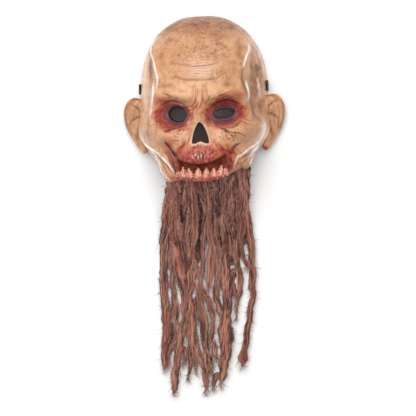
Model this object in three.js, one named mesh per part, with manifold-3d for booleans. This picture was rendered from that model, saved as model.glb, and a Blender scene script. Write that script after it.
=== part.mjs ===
// Zombie half mask, lying face up. Millimetres, +Z up out of the face, +Y to the crown,
// the wearer's left side at +X. Four pieces: the moulded shell with its ears and teeth,
// the net behind the nose opening, the elastic strap and the torn gauze beard.
import * as THREE from 'three';
import { mergeVertices } from 'three/addons/utils/BufferGeometryUtils.js';
import Module from 'manifold-3d';

const wasm = await Module();
wasm.setup();

// Driving dimensions of the head. The face frame has its origin between the eyes, at rim height.
const WALL = 2.0;
const FACE_HEIGHT = 102;
const CROWN_Y = 139;
const BEARD_END_Y = -404;
const SIDE_ROUNDNESS = 2.2;
const TOP_ROUNDNESS = 2.1;
const SEAT_GAP = 0.4;

// Cells of the head's surface, crowded towards the rim, the middle of the face and the mouth. The
// relief starts at nothing on the flat rim and is whole at RELIEF_START above it.
const GRID_CELLS_X = 40;
const GRID_CELLS_Y = 36;
const RIM_CROWDING = 0.25;
const MIDDLE_CROWDING = 0.18;
const MOUTH_CROWDING = 0.2;
const RELIEF_START = 12;

// Rim of the shell, seen from the front: across the crown, down the temples behind the ears,
// along the torn jaw and under the teeth. The last number is the height above the table.
const CROWN_RIM = [[28, 136.5, 0], [55, 122.5, 0], [74, 101.5, 0], [85.5, 77, 0], [90.5, 53, 0], [92, 28, 0],
  [92.5, 4, 0], [95, -18, 0], [94, -31, 0]];
const JAW_RIM_RIGHT = [[87, -44, 3], [79, -53, 12], [72, -64, 26], [67, -76, 40], [61, -82.5, 52],
  [53, -83, 62], [42, -88.5, 70], [29, -95, 77], [12, -99.5, 80]];
const JAW_RIM_LEFT = [[-87, -44, 3], [-81, -55, 12], [-73, -66, 24], [-65, -76, 36], [-60, -90, 46],
  [-49, -100, 57], [-38, -98.5, 68], [-26, -98, 76], [-12, -100, 80]];
const CHIN_RIM = [0, -100.5, 80];

// Openings of the face.
const EYE_LEFT = { x: -32, y: -6, halfWidth: 12.5, halfHeight: 9.8, droop: 0.1 };
const EYE_RIGHT = { x: 33, y: -6, halfWidth: 14, halfHeight: 5.8, droop: -0.12 };
const NOSE = { top: -18.5, bottom: -47, halfWidth: 12, notch: 2.4 };
const EYELID = { margin: 3, height: 2.2, softness: 0.28 };
const NET = { thickness: 0.8, overlap: 11 };
const CUT_BOTTOM = 40;
const CUT_TOP = 130;
const STRAP = { y: 36, width: 15, thickness: 1.2 };
const SLOT = { x: 90, z: 7, depth: 20, height: 3, width: 17.5 };

// Mouth: the sagging edge of the raw upper gum, and the line at the foot of the teeth. Each tooth
// has its place across, the height of its tip and its width.
const MOUTH = { left: -35, right: 36, depth: 13, gumSag: 76, gumRise: 10, teethFoot: 99.5, footRise: 9 };
const TOOTH = { z: 84.5, sink: 0.6, flatness: 0.75, lean: 0.12, fan: 0.006 };
const TOOTH_PROFILE = [[0, 0], [0.46, 0.02], [0.5, 0.3], [0.3, 0.72], [0, 1]];
const TEETH = [[-31.5, -81, 6.5], [-24.5, -78.5, 8.5], [-15.5, -80, 8.5], [-5, -81, 10], [5.5, -81, 9.5],
  [16.5, -82, 9], [25, -77.5, 7.5], [31.5, -81.5, 6.5]];

const skin = { color: 0xd9a982, roughness: 0.3, metalness: 0 };
const net = { color: 0x1a1414, roughness: 0.9, metalness: 0 };
const elastic = { color: 0x101010, roughness: 0.85, metalness: 0 };
const gauze = { color: 0x7d4a3f, roughness: 0.95, metalness: 0 };

const smooth = (edge0, edge1, value) => {
  const t = Math.min(1, Math.max(0, (value - edge0) / (edge1 - edge0)));
  return t * t * (3 - 2 * t);
};

// A soft mound or hollow: height times exp(-(distance in radii) to a power), turned by an angle.
function mound(x, y, { at, radii, height, turn = 0, power = 2 }) {
  const cosine = Math.cos(turn);
  const sine = Math.sin(turn);
  const dx = x - at[0];
  const dy = y - at[1];
  const along = (dx * cosine + dy * sine) / radii[0];
  const across = (dy * cosine - dx * sine) / radii[1];
  return height * Math.exp(-Math.pow(Math.hypot(along, across), power));
}

// A crease or ridge along a line of a few points: a bell across the line, fading at its ends.
function crease(x, y, { line, width, height }) {
  let nearest = Infinity;
  for (let i = 0; i + 1 < line.length; i += 1) {
    const [ax, ay] = line[i];
    const [bx, by] = line[i + 1];
    const length2 = (bx - ax) ** 2 + (by - ay) ** 2;
    const t = Math.min(1, Math.max(0, ((x - ax) * (bx - ax) + (y - ay) * (by - ay)) / length2));
    nearest = Math.min(nearest, Math.hypot(x - ax - t * (bx - ax), y - ay - t * (by - ay)));
  }
  return height * Math.exp(-((nearest / width) ** 2));
}

// Forms that both sides of the face share, given for the +X side and mirrored.
const MIRRORED_MOUNDS = [
  { name: 'brow', at: [34, 20], radii: [30, 9], height: 6.5, turn: 0.2 },
  { name: 'eye socket', at: [36, -5], radii: [25, 17], height: -13, power: 3 },
  { name: 'cheekbone', at: [54, -33], radii: [24, 12], height: 5, turn: 0.35 },
  { name: 'hollow under the cheekbone', at: [50, -62], radii: [16, 12], height: -5, turn: 0.9 },
  { name: 'temple', at: [77, 40], radii: [11, 34], height: -6.5 },
  { name: 'temple ridge', at: [64, 55], radii: [5, 40], height: 2.5, turn: 0.05 },
  { name: 'nostril side', at: [17, -38], radii: [7, 12], height: -2.5 },
];
const MIRRORED_CREASES = [
  { name: 'frown line', line: [[7, 30], [6.5, 14], [4, 2]], width: 2.2, height: -2.6 },
  { name: 'side of the nose root', line: [[12, 8], [13, -8], [16, -20]], width: 4, height: -2.5 },
  { name: 'tear trough', line: [[14, -22], [28, -31], [48, -30]], width: 3, height: -2 },
];
const MIDDLE_MOUNDS = [
  { name: 'nose root', at: [0, -8], radii: [9, 16], height: 6.5 },
  { name: 'rim above the nose opening', at: [0, -16], radii: [9, 5], height: 2.5 },
  { name: 'upper gum', at: [-3, -63], radii: [27, 12], height: 6.5 },
  { name: 'forehead', at: [0, 55], radii: [40, 25], height: 1.5 },
];
const MIDDLE_CREASES = [
  { name: 'low forehead wrinkle', line: [[-30, 44], [-12, 41], [12, 41], [30, 44]], width: 2.4, height: -2.4 },
  { name: 'high forehead wrinkle', line: [[-30, 66], [-8, 61], [26, 65]], width: 2.4, height: -1.6 },
  { name: 'torn mouth corner', line: [[-49, -45], [-42, -56], [-34, -68]], width: 4.2, height: -6 },
  { name: 'first jaw fold', line: [[-46, -66], [-40, -82], [-35, -94]], width: 2.4, height: -3.5 },
  { name: 'second jaw fold', line: [[-55, -66], [-49, -80], [-40, -95]], width: 2.4, height: -2.5 },
  { name: 'cut beside the nose', line: [[-27, -56], [-21, -44]], width: 2.4, height: -2.5 },
  { name: 'right cheek crease', line: [[41, -66], [44, -57], [56, -48]], width: 2.6, height: -3 },
  { name: 'bony knob', line: [[57, -74], [60, -79]], width: 5, height: 3.5 },
];

const gumEdge = (x) => -MOUTH.gumSag + MOUTH.gumRise * ((x + 4) / 34) ** 2;
const teethFoot = (x) => -MOUTH.teethFoot + MOUTH.footRise * (x / 34) ** 2;

// Relief of the face, as a distance along the outward direction of the smooth head.
function relief(x, y) {
  let height = 0;
  for (const form of MIRRORED_MOUNDS) {
    height += mound(Math.abs(x), y, form);
  }
  for (const form of MIRRORED_CREASES) {
    height += crease(Math.abs(x), y, form);
  }
  for (const form of MIDDLE_MOUNDS) {
    height += mound(x, y, form);
  }
  for (const form of MIDDLE_CREASES) {
    height += crease(x, y, form);
  }
  for (const eye of [EYE_LEFT, EYE_RIGHT]) {
    const radius = Math.hypot(
      (x - eye.x) / (eye.halfWidth + EYELID.margin), (y - eye.y) / (eye.halfHeight + EYELID.margin));
    height += EYELID.height * Math.exp(-(((radius - 1) / EYELID.softness) ** 2));
  }
  const sunk = smooth(2, -6, y - gumEdge(x)) * smooth(1, 9, y - teethFoot(x));
  const between = smooth(MOUTH.left - 2, MOUTH.left + 7, x) * smooth(MOUTH.right + 2, MOUTH.right - 7, x);
  return height - MOUTH.depth * sunk * between;
}

// The rim as one closed curve, read back by its angle round the point between the eyes.
const rimPoints = [
  [0, CROWN_Y, 0], ...CROWN_RIM, ...JAW_RIM_RIGHT, CHIN_RIM,
  ...[...JAW_RIM_LEFT].reverse(), ...CROWN_RIM.map(([x, y, z]) => [-x, y, z]).reverse(),
].map((point) => new THREE.Vector3(...point));
const rimCurve = new THREE.CatmullRomCurve3(rimPoints, true, 'catmullrom', 0.5);
const RIM_SAMPLES = 1440;
const rimTable = Array.from({ length: RIM_SAMPLES }, (_, i) => rimCurve.getPoint(i / RIM_SAMPLES))
  .map((point) => ({ angle: Math.atan2(point.y, point.x), radius: Math.hypot(point.x, point.y), z: point.z }))
  .sort((a, b) => a.angle - b.angle);

function rimAt(angle) {
  let high = rimTable.findIndex((entry) => entry.angle >= angle);
  high = high < 0 ? 0 : high;
  const after = rimTable[high];
  const before = rimTable[(high + RIM_SAMPLES - 1) % RIM_SAMPLES];
  const wrap = before.angle > after.angle ? 2 * Math.PI : 0;
  const start = before.angle - wrap;
  const t = (angle > after.angle ? angle - 2 * Math.PI - start : angle - start) / (after.angle - start);
  return {
    radius: before.radius + t * (after.radius - before.radius),
    z: Math.max(0, before.z + t * (after.z - before.z)),
  };
}

// Height of the smooth head over the rim at a fraction of the way out: a superellipse quarter.
const rise = (fraction) => Math.pow(Math.max(0, 1 - fraction ** SIDE_ROUNDNESS), 1 / TOP_ROUNDNESS);

// A point of the smooth head. The unit square is bent to a disc, the disc is stretched to the
// rim, and each point is lifted by the superellipse; rows crowd near the steep sides.
function headPoint(u, v) {
  const discX = u * Math.sqrt(1 - v * v / 2);
  const discY = v * Math.sqrt(1 - u * u / 2);
  const radial = Math.min(1, Math.hypot(discX, discY));
  const angle = Math.atan2(discY, discX);
  const fraction = radial > 0.9999 ? 1 : (1 + RIM_CROWDING) * radial - RIM_CROWDING * radial ** 5;
  const rim = rimAt(angle);
  return new THREE.Vector3(
    fraction * rim.radius * Math.cos(angle),
    fraction * rim.radius * Math.sin(angle),
    rim.z + (FACE_HEIGHT - rim.z) * rise(fraction),
  );
}

// Closed geometry to a manifold solid and back.
function toSolid(geometry) {
  const bare = geometry.clone();
  bare.deleteAttribute('normal');
  bare.deleteAttribute('uv');
  const merged = mergeVertices(bare, 1e-4);
  return new wasm.Manifold(new wasm.Mesh({
    numProp: 3,
    vertProperties: new Float32Array(merged.attributes.position.array),
    triVerts: new Uint32Array(merged.index.array),
  }));
}

function toGeometry(solid) {
  const mesh = solid.getMesh();
  const geometry = new THREE.BufferGeometry();
  geometry.setAttribute('position', new THREE.BufferAttribute(new Float32Array(mesh.vertProperties), 3));
  geometry.setIndex(new THREE.BufferAttribute(new Uint32Array(mesh.triVerts), 1));
  geometry.computeVertexNormals();
  return geometry;
}

function geometryFrom(vertices, triangles) {
  const geometry = new THREE.BufferGeometry();
  const flat = vertices.flatMap((vertex) => [vertex.x, vertex.y, vertex.z]);
  geometry.setAttribute('position', new THREE.Float32BufferAttribute(flat, 3));
  geometry.setIndex(triangles);
  return geometry;
}

// Closed solid between a front and a back grid of points with the same rows and columns.
function closedSheet(rows, columns, front, back) {
  const vertices = [];
  for (const layer of [front, back]) {
    for (let i = 0; i < rows; i += 1) {
      for (let j = 0; j < columns; j += 1) {
        vertices.push(layer(i, j));
      }
    }
  }
  const layerSize = rows * columns;
  const triangles = [];
  const quad = (a, b, c, d) => triangles.push(a, b, c, a, c, d);
  for (let i = 0; i + 1 < rows; i += 1) {
    for (let j = 0; j + 1 < columns; j += 1) {
      const a = i * columns + j;
      quad(a, a + 1, a + 1 + columns, a + columns);
      const b = layerSize + a;
      triangles.push(b, b + 1 + columns, b + 1, b, b + columns, b + 1 + columns);
    }
    const left = i * columns;
    const right = left + columns - 1;
    quad(left, left + columns, left + columns + layerSize, left + layerSize);
    quad(right, right + layerSize, right + columns + layerSize, right + columns);
  }
  const last = (rows - 1) * columns;
  for (let j = 0; j + 1 < columns; j += 1) {
    quad(j, j + layerSize, j + 1 + layerSize, j + 1);
    quad(last + j, last + j + 1, last + j + 1 + layerSize, last + j + layerSize);
  }
  let volume = 0;
  for (let k = 0; k < triangles.length; k += 3) {
    const [a, b, c] = [vertices[triangles[k]], vertices[triangles[k + 1]], vertices[triangles[k + 2]]];
    volume += a.dot(new THREE.Vector3().crossVectors(b, c));
  }
  return geometryFrom(vertices, volume < 0 ? triangles.reverse() : triangles);
}

// The head grid: smooth points, outward directions and relief heights. Columns crowd towards the
// middle of the face and rows towards the mouth.
function makeHeadGrid() {
  const points = [];
  for (let j = 0; j <= GRID_CELLS_Y; j += 1) {
    for (let i = 0; i <= GRID_CELLS_X; i += 1) {
      const across = -1 + 2 * i / GRID_CELLS_X;
      const up = -1 + 2 * j / GRID_CELLS_Y;
      points.push(headPoint(
        across * (1 - MIDDLE_CROWDING * (1 - across ** 2)), up - MOUTH_CROWDING * (1 - up ** 2)));
    }
  }
  const at = (i, j) => j * (GRID_CELLS_X + 1) + i;
  const triangles = [];
  for (let j = 0; j < GRID_CELLS_Y; j += 1) {
    for (let i = 0; i < GRID_CELLS_X; i += 1) {
      const [a, b, c, d] = [at(i, j), at(i + 1, j), at(i + 1, j + 1), at(i, j + 1)];
      const sameHalves = (i < GRID_CELLS_X / 2) === (j < GRID_CELLS_Y / 2);
      triangles.push(...(sameHalves ? [a, b, c, a, c, d] : [a, b, d, b, c, d]));
    }
  }
  const smoothHead = geometryFrom(points, triangles);
  smoothHead.computeVertexNormals();
  const normals = points.map((point, index) => {
    const normal = new THREE.Vector3().fromBufferAttribute(smoothHead.attributes.normal, index);
    normal.z *= point.z < 0.01 ? 0 : 1;
    return normal.normalize();
  });
  const heights = points.map((point) => relief(point.x, point.y) * smooth(0, RELIEF_START, point.z));
  return { points, normals, heights, triangles, at };
}

const head = makeHeadGrid();

function outerVertex(i, j) {
  const index = head.at(i, j);
  return head.points[index].clone().addScaledVector(head.normals[index], head.heights[index]);
}

// The back of the wall follows the front at the wall's thickness. Its cells are twice as large, so
// a point beside a groove is lowered by as much as the groove dips under the straight line past it.
const GROOVE_ALLOWANCE = 0.2;
function innerVertex(i, j, extra = 0) {
  const heightAt = (column, row) => head.heights[head.at(
    Math.min(GRID_CELLS_X, Math.max(0, column)), Math.min(GRID_CELLS_Y, Math.max(0, row)))];
  const here = heightAt(i, j);
  let dip = 0;
  for (let dj = -1; dj <= 1; dj += 1) {
    for (let di = -1; di <= 1; di += 1) {
      dip = Math.max(dip, (here + heightAt(i + 2 * di, j + 2 * dj)) / 2 - heightAt(i + di, j + dj));
    }
  }
  const depth = here - Math.max(0, dip - GROOVE_ALLOWANCE) - WALL - extra;
  const index = head.at(i, j);
  const point = head.points[index].clone().addScaledVector(head.normals[index], depth);
  point.z = Math.max(point.z, head.points[index].z < 0.01 ? 0 : 0.5);
  return point;
}

// Grid points once round the rim, counterclockwise seen from the front.
function rimWalk() {
  const walk = [];
  for (let i = 0; i < GRID_CELLS_X; i += 1) {
    walk.push([i, 0]);
  }
  for (let j = 0; j < GRID_CELLS_Y; j += 1) {
    walk.push([GRID_CELLS_X, j]);
  }
  for (let i = GRID_CELLS_X; i > 0; i -= 1) {
    walk.push([i, GRID_CELLS_Y]);
  }
  for (let j = GRID_CELLS_Y; j > 0; j -= 1) {
    walk.push([0, j]);
  }
  return walk;
}

// Shell blank: a fine outer skin, an inner skin of cells twice as large, and the rim between them.
// Inner cells that touch the rim take the rim's midpoints too.
function makeShellBlank() {
  const vertices = head.points.map((_, index) => outerVertex(index % (GRID_CELLS_X + 1),
    Math.floor(index / (GRID_CELLS_X + 1))));
  const triangles = [...head.triangles];
  const innerIndex = new Map();
  const inner = ([i, j]) => {
    const key = head.at(i, j);
    if (!innerIndex.has(key)) {
      innerIndex.set(key, vertices.length);
      vertices.push(innerVertex(i, j));
    }
    return innerIndex.get(key);
  };
  const onRim = ([i, j]) => i === 0 || j === 0 || i === GRID_CELLS_X || j === GRID_CELLS_Y;
  for (let j = 0; j < GRID_CELLS_Y; j += 2) {
    for (let i = 0; i < GRID_CELLS_X; i += 2) {
      const corners = [[i, j], [i + 2, j], [i + 2, j + 2], [i, j + 2]];
      const outline = corners.flatMap((corner, k) => {
        const next = corners[(k + 1) % 4];
        const middle = [(corner[0] + next[0]) / 2, (corner[1] + next[1]) / 2];
        return onRim(middle) ? [corner, middle] : [corner];
      });
      const middles = outline.filter(([a, b]) => a % 2 === 1 || b % 2 === 1);
      const farCorner = outline.findIndex((point) => !onRim(point));
      const start = middles.length === 1 ? outline.indexOf(middles[0]) : Math.max(0, farCorner);
      const fan = [...outline.slice(start), ...outline.slice(0, start)].map(inner);
      for (let k = 1; k + 1 < fan.length; k += 1) {
        triangles.push(fan[0], fan[k + 1], fan[k]);
      }
    }
  }
  const walk = rimWalk();
  walk.forEach((here, k) => {
    const next = walk[(k + 1) % walk.length];
    const [a, b] = [head.at(...here), head.at(...next)];
    triangles.push(b, a, inner(here), b, inner(here), inner(next));
  });
  return geometryFrom(vertices, triangles);
}

// Straight cutter through the face with a plan outline.
function cutter(outline) {
  const shape = new THREE.Shape(outline.map(([x, y]) => new THREE.Vector2(x, y)));
  const geometry = new THREE.ExtrudeGeometry(shape, { depth: CUT_TOP - CUT_BOTTOM, bevelEnabled: false });
  geometry.translate(0, 0, CUT_BOTTOM);
  return toSolid(geometry);
}

// Almond outline: an ellipse pinched to points at its corners, sheared so that it droops.
function eyeOutline({ x, y, halfWidth, halfHeight, droop }) {
  const steps = 16;
  return Array.from({ length: steps }, (_, k) => {
    const angle = 2 * Math.PI * k / steps;
    const across = Math.cos(angle);
    const pinch = Math.pow(Math.abs(Math.sin(angle)), 0.25);
    return [x + halfWidth * across, y + halfHeight * Math.sin(angle) * pinch - droop * halfWidth * across];
  });
}

// Nose opening: narrow and round at the top, two lobes at the foot with a notch between them.
function noseOutline({ top, bottom, halfWidth, notch }) {
  const steps = 5;
  const right = [];
  for (let k = 1; k <= steps; k += 1) {
    const t = k / steps;
    right.push([halfWidth * Math.pow(t, 0.62), top + (bottom - top) * (1 - Math.sqrt(1 - t * t * 0.999)) * 0.35
      + (bottom - top) * t * 0.65]);
  }
  right.push([halfWidth * 0.62, bottom - 0.6]);
  const left = right.map(([x, y]) => [-x, y]);
  return [[0, top], ...left, [0, bottom + notch], ...right.reverse()];
}

// Ear: a cupped plate from the side of the head out to its rolled edge, with a long lobe below.
const EAR_OUTER = [[90, 22, 16], [100, 24, 13], [109, 18.5, 9], [114.5, 6, 6.5], [114, -8, 6], [110.5, -21, 6.5],
  [104.5, -34, 8.5], [97, -47, 11], [88.5, -56.5, 13]];
const EAR_INNER = [[89, 19, 20], [89, 12, 25], [89, 3, 28], [90, -8, 29], [91, -18, 27], [92, -28, 22],
  [91, -37, 19], [86.5, -46, 17], [84, -53, 15]];
const EAR = { alongSteps: 11, acrossSteps: 6, thickness: 3.2, turn: 0.62 };

function earRelief(along, across) {
  const helix = 4.5 * Math.exp(-(((across - 0.94) / 0.15) ** 2)) * smooth(0.8, 0.6, along);
  const antihelix = 3 * Math.exp(-(((across - 0.57) / 0.13) ** 2)) * smooth(0.1, 0.3, along)
    * smooth(0.75, 0.6, along);
  const concha = -7 * Math.exp(-(((across - 0.3) / 0.22) ** 2 + ((along - 0.42) / 0.2) ** 2));
  const lobe = 1.5 * Math.exp(-(((across - 0.5) / 0.4) ** 2 + ((along - 0.85) / 0.15) ** 2));
  return helix + antihelix + concha + lobe;
}

function makeEar(side) {
  const outerCurve = new THREE.CatmullRomCurve3(EAR_OUTER.map((p) => new THREE.Vector3(...p)));
  const innerCurve = new THREE.CatmullRomCurve3(EAR_INNER.map((p) => new THREE.Vector3(...p)));
  const facing = new THREE.Vector3(Math.sin(EAR.turn), 0, Math.cos(EAR.turn));
  const layer = (depth) => (i, j) => {
    const along = i / EAR.alongSteps;
    const across = j / EAR.acrossSteps;
    const point = innerCurve.getPoint(along).lerp(outerCurve.getPoint(along), across);
    point.addScaledVector(facing, earRelief(along, across) - depth);
    point.x *= side;
    point.z = Math.max(point.z, 0.6);
    return point;
  };
  return toSolid(closedSheet(EAR.alongSteps + 1, EAR.acrossSteps + 1, layer(0), layer(EAR.thickness)));
}

// Tooth: a blunt tapering peg turned on a lathe, flattened, with its tip towards the nose.
function makeTooth([x, tipY, width]) {
  const foot = teethFoot(x) - TOOTH.sink;
  const length = tipY - foot;
  const geometry = new THREE.LatheGeometry(
    TOOTH_PROFILE.map(([radius, height]) => new THREE.Vector2(radius * width, height * length)), 6);
  geometry.scale(1, 1, TOOTH.flatness);
  geometry.rotateX(TOOTH.lean);
  geometry.rotateZ(-TOOTH.fan * x);
  geometry.translate(x, foot, TOOTH.z - 0.004 * x * x);
  return toSolid(geometry);
}

function makeShell() {
  let shell = toSolid(makeShellBlank());
  for (const side of [-1, 1]) {
    shell = shell.add(makeEar(side));
  }
  for (const tooth of TEETH) {
    shell = shell.add(makeTooth(tooth));
  }
  for (const eye of [EYE_LEFT, EYE_RIGHT]) {
    shell = shell.subtract(cutter(eyeOutline(eye)));
  }
  shell = shell.subtract(cutter(noseOutline(NOSE)));
  for (const side of [-1, 1]) {
    const slot = new THREE.BoxGeometry(SLOT.depth, SLOT.width, SLOT.height);
    slot.translate(side * SLOT.x, STRAP.y, SLOT.z);
    shell = shell.subtract(toSolid(slot));
  }
  return shell;
}

// Net behind the nose opening: the cells of the inner skin round the opening, set back a little.
function makeNoseNet() {
  const middle = GRID_CELLS_X / 2;
  const columns = [-6, -4, -2, 0, 2, 4, 6].map((offset) => middle + offset)
    .filter((i) => Math.abs(head.points[head.at(i, GRID_CELLS_Y / 2)].x) < NOSE.halfWidth + NET.overlap);
  const rows = [];
  for (let j = 0; j <= GRID_CELLS_Y; j += 2) {
    const y = head.points[head.at(middle, j)].y;
    if (y > NOSE.bottom - NET.overlap && y < NOSE.top + NET.overlap) {
      rows.push(j);
    }
  }
  const layer = (extra) => (row, column) => innerVertex(columns[column], rows[row], extra);
  return closedSheet(rows.length, columns.length, layer(SEAT_GAP), layer(SEAT_GAP + NET.thickness));
}

// Flat band carried along a path: four corners at each station, closed at both ends.
function makeBand(stations) {
  const vertices = [];
  const triangles = [];
  stations.forEach(({ centre, side, width, thickness }, k) => {
    const ahead = stations[Math.min(k + 1, stations.length - 1)].centre;
    const behind = stations[Math.max(k - 1, 0)].centre;
    const tangent = new THREE.Vector3().subVectors(ahead, behind).normalize();
    const across = side.clone().addScaledVector(tangent, -side.dot(tangent)).normalize();
    const face = new THREE.Vector3().crossVectors(tangent, across);
    for (const [a, f] of [[-1, -1], [1, -1], [1, 1], [-1, 1]]) {
      const corner = centre.clone().addScaledVector(across, a * width / 2);
      corner.addScaledVector(face, f * thickness / 2);
      corner.z = Math.max(corner.z, 0);
      vertices.push(corner);
    }
  });
  for (let k = 0; k + 1 < stations.length; k += 1) {
    for (let corner = 0; corner < 4; corner += 1) {
      const a = 4 * k + corner;
      const b = 4 * k + (corner + 1) % 4;
      triangles.push(a, b, b + 4, a, b + 4, a + 4);
    }
  }
  const end = 4 * (stations.length - 1);
  triangles.push(0, 2, 1, 0, 3, 2, end, end + 1, end + 2, end, end + 2, end + 3);
  return geometryFrom(vertices, triangles);
}

// Elastic strap, from the tab sewn outside the temple, in through the slot, and round in one slack
// loop that stands on its edge inside the crown. Half of the route; the other half is its mirror.
const STRAP_ROUTE = [[91.3, 36, 18.5], [92.2, 36, 14], [92.9, 36, 9.8], [91.8, 36, 7.3], [88, 36, 7],
  [83, 36, 7], [76, 36.8, 7.3], [68, 39.8, 7.6], [60, 45.5, 7.8], [54, 53.5, 7.8], [51, 63, 7.8], [51, 76, 7.8],
  [49, 90, 7.8], [42, 104, 7.8], [30, 115, 7.8], [15, 121.5, 7.8]];
const STRAP_MIDDLE = [0, 123.5, 7.8];
const STRAP_FLAT_LENGTH = 26;
const STRAP_TWIST_LENGTH = 42;

function makeStrap() {
  const mirrored = STRAP_ROUTE.map(([x, y, z]) => [-x, y, z]).reverse();
  const route = [...STRAP_ROUTE, STRAP_MIDDLE, ...mirrored].map((point) => new THREE.Vector3(...point));
  const lengths = [0];
  route.slice(1).forEach((point, k) => lengths.push(lengths[k] + point.distanceTo(route[k])));
  const total = lengths[lengths.length - 1];
  const stations = route.map((centre, k) => {
    const ahead = route[Math.min(k + 1, route.length - 1)];
    const behind = route[Math.max(k - 1, 0)];
    const tangent = new THREE.Vector3().subVectors(ahead, behind).normalize();
    const fromEnd = Math.min(lengths[k], total - lengths[k]);
    const twist = smooth(STRAP_FLAT_LENGTH, STRAP_FLAT_LENGTH + STRAP_TWIST_LENGTH, fromEnd) * Math.PI / 2;
    const side = fromEnd < STRAP_FLAT_LENGTH
      ? new THREE.Vector3(0, -1, 0) : new THREE.Vector3(-tangent.y, tangent.x, 0).normalize();
    side.multiplyScalar(Math.cos(twist));
    side.z = Math.sin(twist);
    return { centre, side, width: STRAP.width, thickness: STRAP.thickness };
  });
  return makeBand(stations);
}

// Beard. Near the shell the torn strips hang as one rippled apron, which parts into strips below.
// Each strip, left to right: its place across at three levels, then its tip and its widest width.
const BEARD = {
  run: 125, thickness: 7, tipThickness: 4, stepLength: 24, waveLength: 96, waveHeight: 2.2,
  apronRows: 4, apronColumns: 15, apronLeft: [-55, -67], apronRight: [60, 65], apronFoot: -176, ripple: 1.4,
};
const BEARD_LEVELS = [-160, -255, -325];
const BEARD_STRIPS = [
  { across: [-59, -67, -65], tip: [-70, -367], width: 13 },
  { across: [-50, -58, -57], tip: [-63, -362], width: 10 },
  { across: [-40, -42, -38], tip: [-57, BEARD_END_Y], width: 15 },
  { across: [-30, -32, -28], tip: [-34, -384], width: 14 },
  { across: [-20, -24, -20], tip: [-22, -375], width: 11 },
  { across: [-10, -15, -8], tip: [-7, -402], width: 10 },
  { across: [0, 1, 4], tip: [-3, -396], width: 11 },
  { across: [10, 9, 14], tip: [6, -398], width: 9 },
  { across: [20, 19, 22], tip: [14, -389], width: 11 },
  { across: [30, 28, 28], tip: [20, -384], width: 14 },
  { across: [40, 39, 41], tip: [41, -300], width: 11 },
  { across: [50, 50, 47], tip: [52, -268], width: 9 },
  { across: [58, 65.5, 54], tip: [45, -366], width: 11 },
];

// The edge of the shell under the mouth and jaw, within a reach to both sides of a place across:
// how far it comes forward of the mouth, and its lowest height there.
const lowerEdge = rimTable.filter(({ angle }) => angle < -0.8 && angle > 0.8 - Math.PI)
  .map(({ angle, radius, z }) => ({ x: radius * Math.cos(angle), y: radius * Math.sin(angle), z }));
function edgeNear(x, reach) {
  const near = lowerEdge.filter((point) => Math.abs(point.x - x) <= reach);
  return { y: Math.min(...near.map((point) => point.y)), z: Math.min(...near.map((point) => point.z)) };
}

// Height of the beard's underside: it sags from the shell's edge to the table in a parabola.
function beardBase(x, y) {
  const edge = edgeNear(Math.max(BEARD.apronLeft[0], Math.min(BEARD.apronRight[0], x)), 7);
  const left = 1 - Math.min(1, Math.max(0, (edge.y + 5 - y) / BEARD.run));
  return (edge.z - SEAT_GAP - 1 - BEARD.thickness - BEARD.ripple) * left * left;
}

function makeApron() {
  const layer = (height) => (row, column) => {
    const across = column / (BEARD.apronColumns - 1);
    const down = row / (BEARD.apronRows - 1);
    const x = THREE.MathUtils.lerp(
      THREE.MathUtils.lerp(BEARD.apronLeft[0], BEARD.apronLeft[1], down),
      THREE.MathUtils.lerp(BEARD.apronRight[0], BEARD.apronRight[1], down), across);
    const top = edgeNear(THREE.MathUtils.lerp(BEARD.apronLeft[0], BEARD.apronRight[0], across), 1).y + 5;
    const foot = BEARD.apronFoot + 9 * Math.sin(2.1 * column);
    const y = THREE.MathUtils.lerp(top, foot, down);
    const ripple = column % 2 === 0 ? BEARD.ripple : 0;
    return new THREE.Vector3(x, y, beardBase(x, y) + height + ripple * smooth(0, 0.3, down));
  };
  return toSolid(closedSheet(BEARD.apronRows, BEARD.apronColumns, layer(BEARD.thickness), layer(0)));
}

function makeBeardStrip({ across, tip, width }, index) {
  const levels = BEARD_LEVELS.filter((level) => level > tip[1] + 20);
  const plan = new THREE.SplineCurve([
    ...levels.map((level, k) => new THREE.Vector2(across[k], level)), new THREE.Vector2(...tip),
  ]);
  const steps = Math.round(plan.getLength() / BEARD.stepLength);
  const stations = Array.from({ length: steps + 1 }, (_, k) => {
    const along = k / steps;
    const { x, y } = plan.getPointAt(along);
    const wave = BEARD.waveHeight * Math.sin(2 * Math.PI * y / BEARD.waveLength + 2.4 * index);
    const taper = smooth(1, 0.88, along);
    const thickness = BEARD.tipThickness + (BEARD.thickness - BEARD.tipThickness) * taper;
    return {
      centre: new THREE.Vector3(x + wave * smooth(0, 0.15, along), y, beardBase(x, y) + thickness / 2),
      side: new THREE.Vector3(1, 0, 0),
      width: width * (0.9 + 0.2 * Math.sin(0.05 * y + 2 * index)) * (0.35 + 0.65 * taper),
      thickness,
    };
  });
  return toSolid(makeBand(stations));
}

function makeBeard() {
  return BEARD_STRIPS.reduce((beard, strip, index) => beard.add(makeBeardStrip(strip, index)), makeApron());
}

const group = new THREE.Group();
group.position.y = -(CROWN_Y + BEARD_END_Y) / 2;

function addPiece(name, geometry, finish) {
  const mesh = new THREE.Mesh(geometry, new THREE.MeshStandardMaterial(finish));
  mesh.name = name;
  group.add(mesh);
}

addPiece('mask_shell', toGeometry(makeShell()), skin);
addPiece('nose_mesh', makeNoseNet(), net);
addPiece('elastic_strap', makeStrap(), elastic);
addPiece('gauze_beard', toGeometry(makeBeard()), gauze);

export default group;
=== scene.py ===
"""Looks of the zombie half mask: a glossy moulded shell with ears and lower teeth, the net behind its
nose opening, its elastic strap and its torn gauze beard, lying face up on a pale table.

Shapes are worked out in millimetres from a point on the table between the eyes, +Y to the crown and
+Z out of the face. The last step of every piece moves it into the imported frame, in metres."""
import math

import bpy
import numpy as np
from mathutils import Matrix, Vector


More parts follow.
